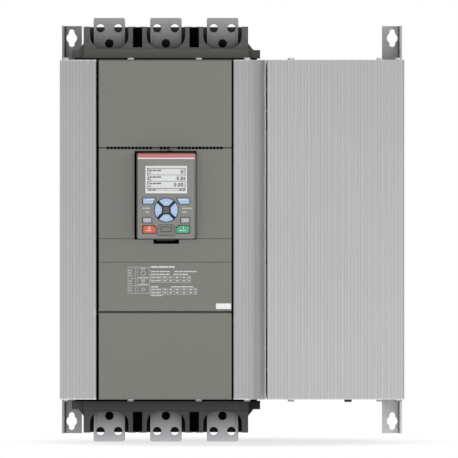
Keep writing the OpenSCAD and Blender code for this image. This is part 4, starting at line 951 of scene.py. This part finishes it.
# Rating table in plain dashes on the middle moulding: first the block of rings on the left
HAIR = 0.3
RINGS_X = -112.2
table = Sheet(FRONT_FACE)
table.frame(-131.4, -104.2, -80.4, -47.4, 0.35)
for x in (-126.6, -122.0, -119.6):
    table.bar(x, x + HAIR, -80.0, -47.8)
for z in (-61.9, -70.6):
    table.bar(-131.0, -104.6, z, z + HAIR)
for z in (-51.4, -54.8, -58.2, -65.0, -68.0, -73.6, -76.8):
    table.words(-130.4, -127.2, z, 1.0, (2.6,))
for z, half in ((-49.2, 3.0), (-60.3, 6.0), (-63.6, 2.8), (-69.2, 6.0)):
    table.words(RINGS_X - half, RINGS_X + half, z, 1.0, (half - 0.4,))
for z, r in ((-54.7, 3.2), (-66.4, 1.8), (-75.6, 2.2)):
    table.ring(RINGS_X, z, r, r, 0.5)

# Then the lines of dashes on the right: both ends, the middle, how tall, and the dashes' lengths
SENTENCE = (5.6, 4.2, 7.2, 4.8, 3.2)
LINES = (
    (-102.5, -72.4, -47.1, 2.2, (9.4, 12.2, 7.1)),
    (-102.5, -78.0, -52.9, 1.4, SENTENCE),
    (-72.7, -44.6, -52.9, 1.4, SENTENCE),
    (-102.5, -78.5, -56.4, 1.4, SENTENCE),
    (-73.9, -55.4, -56.4, 1.4, SENTENCE),
    (-102.3, -93.0, -72.1, 1.7, (3.8, 4.6)),
    (-76.6, -44.4, -72.1, 1.3, (6.6, 4.0, 8.4)),
    (-102.3, -86.8, -83.2, 1.1, (6.2, 7.6)),
)
for dashes in LINES:
    table.words(*dashes)

# Then the two grids: their foot, top and column ends
GRID_LEFT = -103.0
GRIDS = (
    (-66.7, -58.5, (-87.8, -81.4, -73.2, -65.0, -56.2, -52.2)),
    (-81.9, -73.7, (-87.8, -81.4, -73.2, -65.0, -56.2, -48.0, -44.0)),
)
for foot, top, ends in GRIDS:
    middle = (foot + top) / 2
    table.frame(GRID_LEFT, ends[-1], foot, top, HAIR)
    table.bar(GRID_LEFT + HAIR, ends[-1] - HAIR, middle, middle + HAIR)
    for x in ends[:-1]:
        table.bar(x, x + HAIR, foot + HAIR, top - HAIR)
    for z in (middle + 2.2, middle - 1.9):
        table.words(-102.0, -88.6, z, 1.2, (5.0, 6.6))
        for left, right in zip(ends, ends[1:]):
            wide = min(3.6, right - left - 2.0)
            table.bar((left + right - wide) / 2, (left + right + wide) / 2, z - 0.6, z + 0.6)
table.piece("rating_table", "housing", grey_print, "front_plastic")

# Pale label without print
label = Sheet(FRONT_FACE, BAND_T)
label.rounded(-20.2, -1.2, -100.2, -93.2, 0.6)
label.piece("blank_label", "housing", paper_label, "front_plastic")


def web_plan():
    """Outline of a flap inside the middle cover's round corner, as places across and depths."""
    r = CORNER_R - SKIN_T - WEB_GAP
    x, d = SECTION_EDGE - CORNER_R, COVER_FACE - CORNER_R
    left, step = MIDDLE_EDGE + WEB_GAP, TAB_X + WEB_GAP
    points = [(left, TAB_D + WEB_GAP), (step, TAB_D + WEB_GAP)]
    points += [(step, d + WEB_GAP), (x + r, d + WEB_GAP)]
    for i in range(CORNER_STRIPS - 1, -1, -1):
        a = math.radians(90 * i / CORNER_STRIPS)
        points.append((x + r * math.sin(a), d + r * math.cos(a)))
    points.append((left, d + r))
    return points


# Flaps of the end plates that close the middle cover's round corner
for name, plate in (("corner_web_top", "top_end_plate"), ("corner_web_bottom", "bottom_end_plate")):
    web = Sheet(COVER_FACE)
    rings = [[web.spot(x, z, d) for x, d in web_plan()] for z in spans(plate)[2]]
    web.prism(*rings)
    web.piece(name, "housing", finishes["steel"], "steel")

# Pale floor that fades to white towards its rim
FLOOR_R = 1.1
FLOOR_GAP = 0.0006
floor_mesh = bpy.data.meshes.new("floor")
floor_shape = bmesh.new()
bmesh.ops.create_circle(floor_shape, cap_ends=True, segments=96, radius=FLOOR_R)
floor_shape.to_mesh(floor_mesh)
floor_shape.free()
floor = bpy.data.objects.new("floor", floor_mesh)
floor.location = (0.0, -0.2, CAD_BOX[0].z - FLOOR_GAP)
bpy.context.scene.collection.objects.link(floor)
pale = Finish("pale_floor", Roughness=0.9)
speck = pale.noise((300, 300, 300), 2.0)
pale.feed("Base Color", pale.mix(speck, (0.90, 0.90, 0.90), (0.94, 0.94, 0.94)))
oval = pale.add("Mapping", None, {"Vector": pale.place, "Scale": (2.4, 1.0, 1.0)})
reach = pale.add("VectorMath", {"operation": "LENGTH"}, {0: oval}, "Value")
fade = pale.add(
    "MapRange",
    {"interpolation_type": "SMOOTHSTEP"},
    {"Value": reach, "From Min": 0.3, "From Max": 0.75, "To Min": 0.7, "To Max": 1.0},
)
WHITE = (1.0, 1.0, 1.0)
glow = pale.add("Emission", None, {"Color": WHITE, "Strength": 1.0})
pale.show(pale.add("MixShader", None, {0: fade, 1: pale.plain(), 2: glow}))
floor_mesh.materials.append(pale.material)

# World: white to the camera and in gloss and glass, dim as a light
DIM = 0.22
world = bpy.data.worlds.new("studio")
world.use_nodes = True
world.node_tree.nodes.clear()
studio = Shading(world.node_tree)
camera_ray, glossy_ray, glass_ray = (
    studio.add("LightPath", out=ray) for ray in ("Is Camera Ray", "Is Glossy Ray", "Is Transmission Ray")
)
dim = studio.add("Background", None, {"Color": WHITE, "Strength": DIM})
white = studio.add("Background", None, {"Color": WHITE, "Strength": 1.0})
seen = camera_ray + glossy_ray + glass_ray
shown = studio.add("MixShader", None, {0: seen, 1: dim, 2: white})
studio.add("OutputWorld", None, {"Surface": shown})
bpy.context.scene.world = world


def soft_lamp(name, spot, aim, width, height, energy):
    """Upright soft box at a spot, turned to what it lights."""
    data = bpy.data.lights.new(name, "AREA")
    data.shape = "RECTANGLE"
    data.size = width
    data.size_y = height
    data.energy = energy
    lamp = bpy.data.objects.new(name, data)
    lamp.location = spot
    lamp.rotation_euler = (Vector(aim) - Vector(spot)).to_track_quat("-Z", "Y").to_euler()
    bpy.context.scene.collection.objects.link(lamp)


soft_lamp("front_softbox", (0.35, -3.2, -0.02), (0.0, -0.3, -0.02), 2.4, 0.5, 28.0)
soft_lamp("right_softbox", (2.4, -1.3, 0.5), (0.0, -0.3, 0.0), 1.6, 1.0, 16.0)
soft_lamp("left_softbox", (-2.4, -1.3, 0.5), (0.0, -0.3, 0.0), 1.6, 1.0, 5.0)
soft_lamp("top_softbox", (-0.2, -1.4, 2.4), (0.0, -0.3, 0.0), 1.8, 1.0, 2.0)

# Camera far in front, whose frame is FIELD metres wide at PLANE metres forward of the back
FIELD = 0.5796
PLANE = 0.300
LENS = 1650.0
SENSOR = 36.0
CAMERA_X = -0.0038
CAMERA_Z = 0.0008
lens = bpy.data.cameras.new("camera")
lens.lens = LENS
lens.sensor_width = SENSOR
lens.clip_start = 0.1
lens.clip_end = 200.0
camera = bpy.data.objects.new("camera", lens)
camera.location = (CAMERA_X, -PLANE - LENS / SENSOR * FIELD, CAMERA_Z)
camera.rotation_euler = (math.radians(90), 0.0, 0.0)
bpy.context.scene.collection.objects.link(camera)
bpy.context.scene.camera = camera
bpy.context.scene.view_settings.view_transform = "Standard"
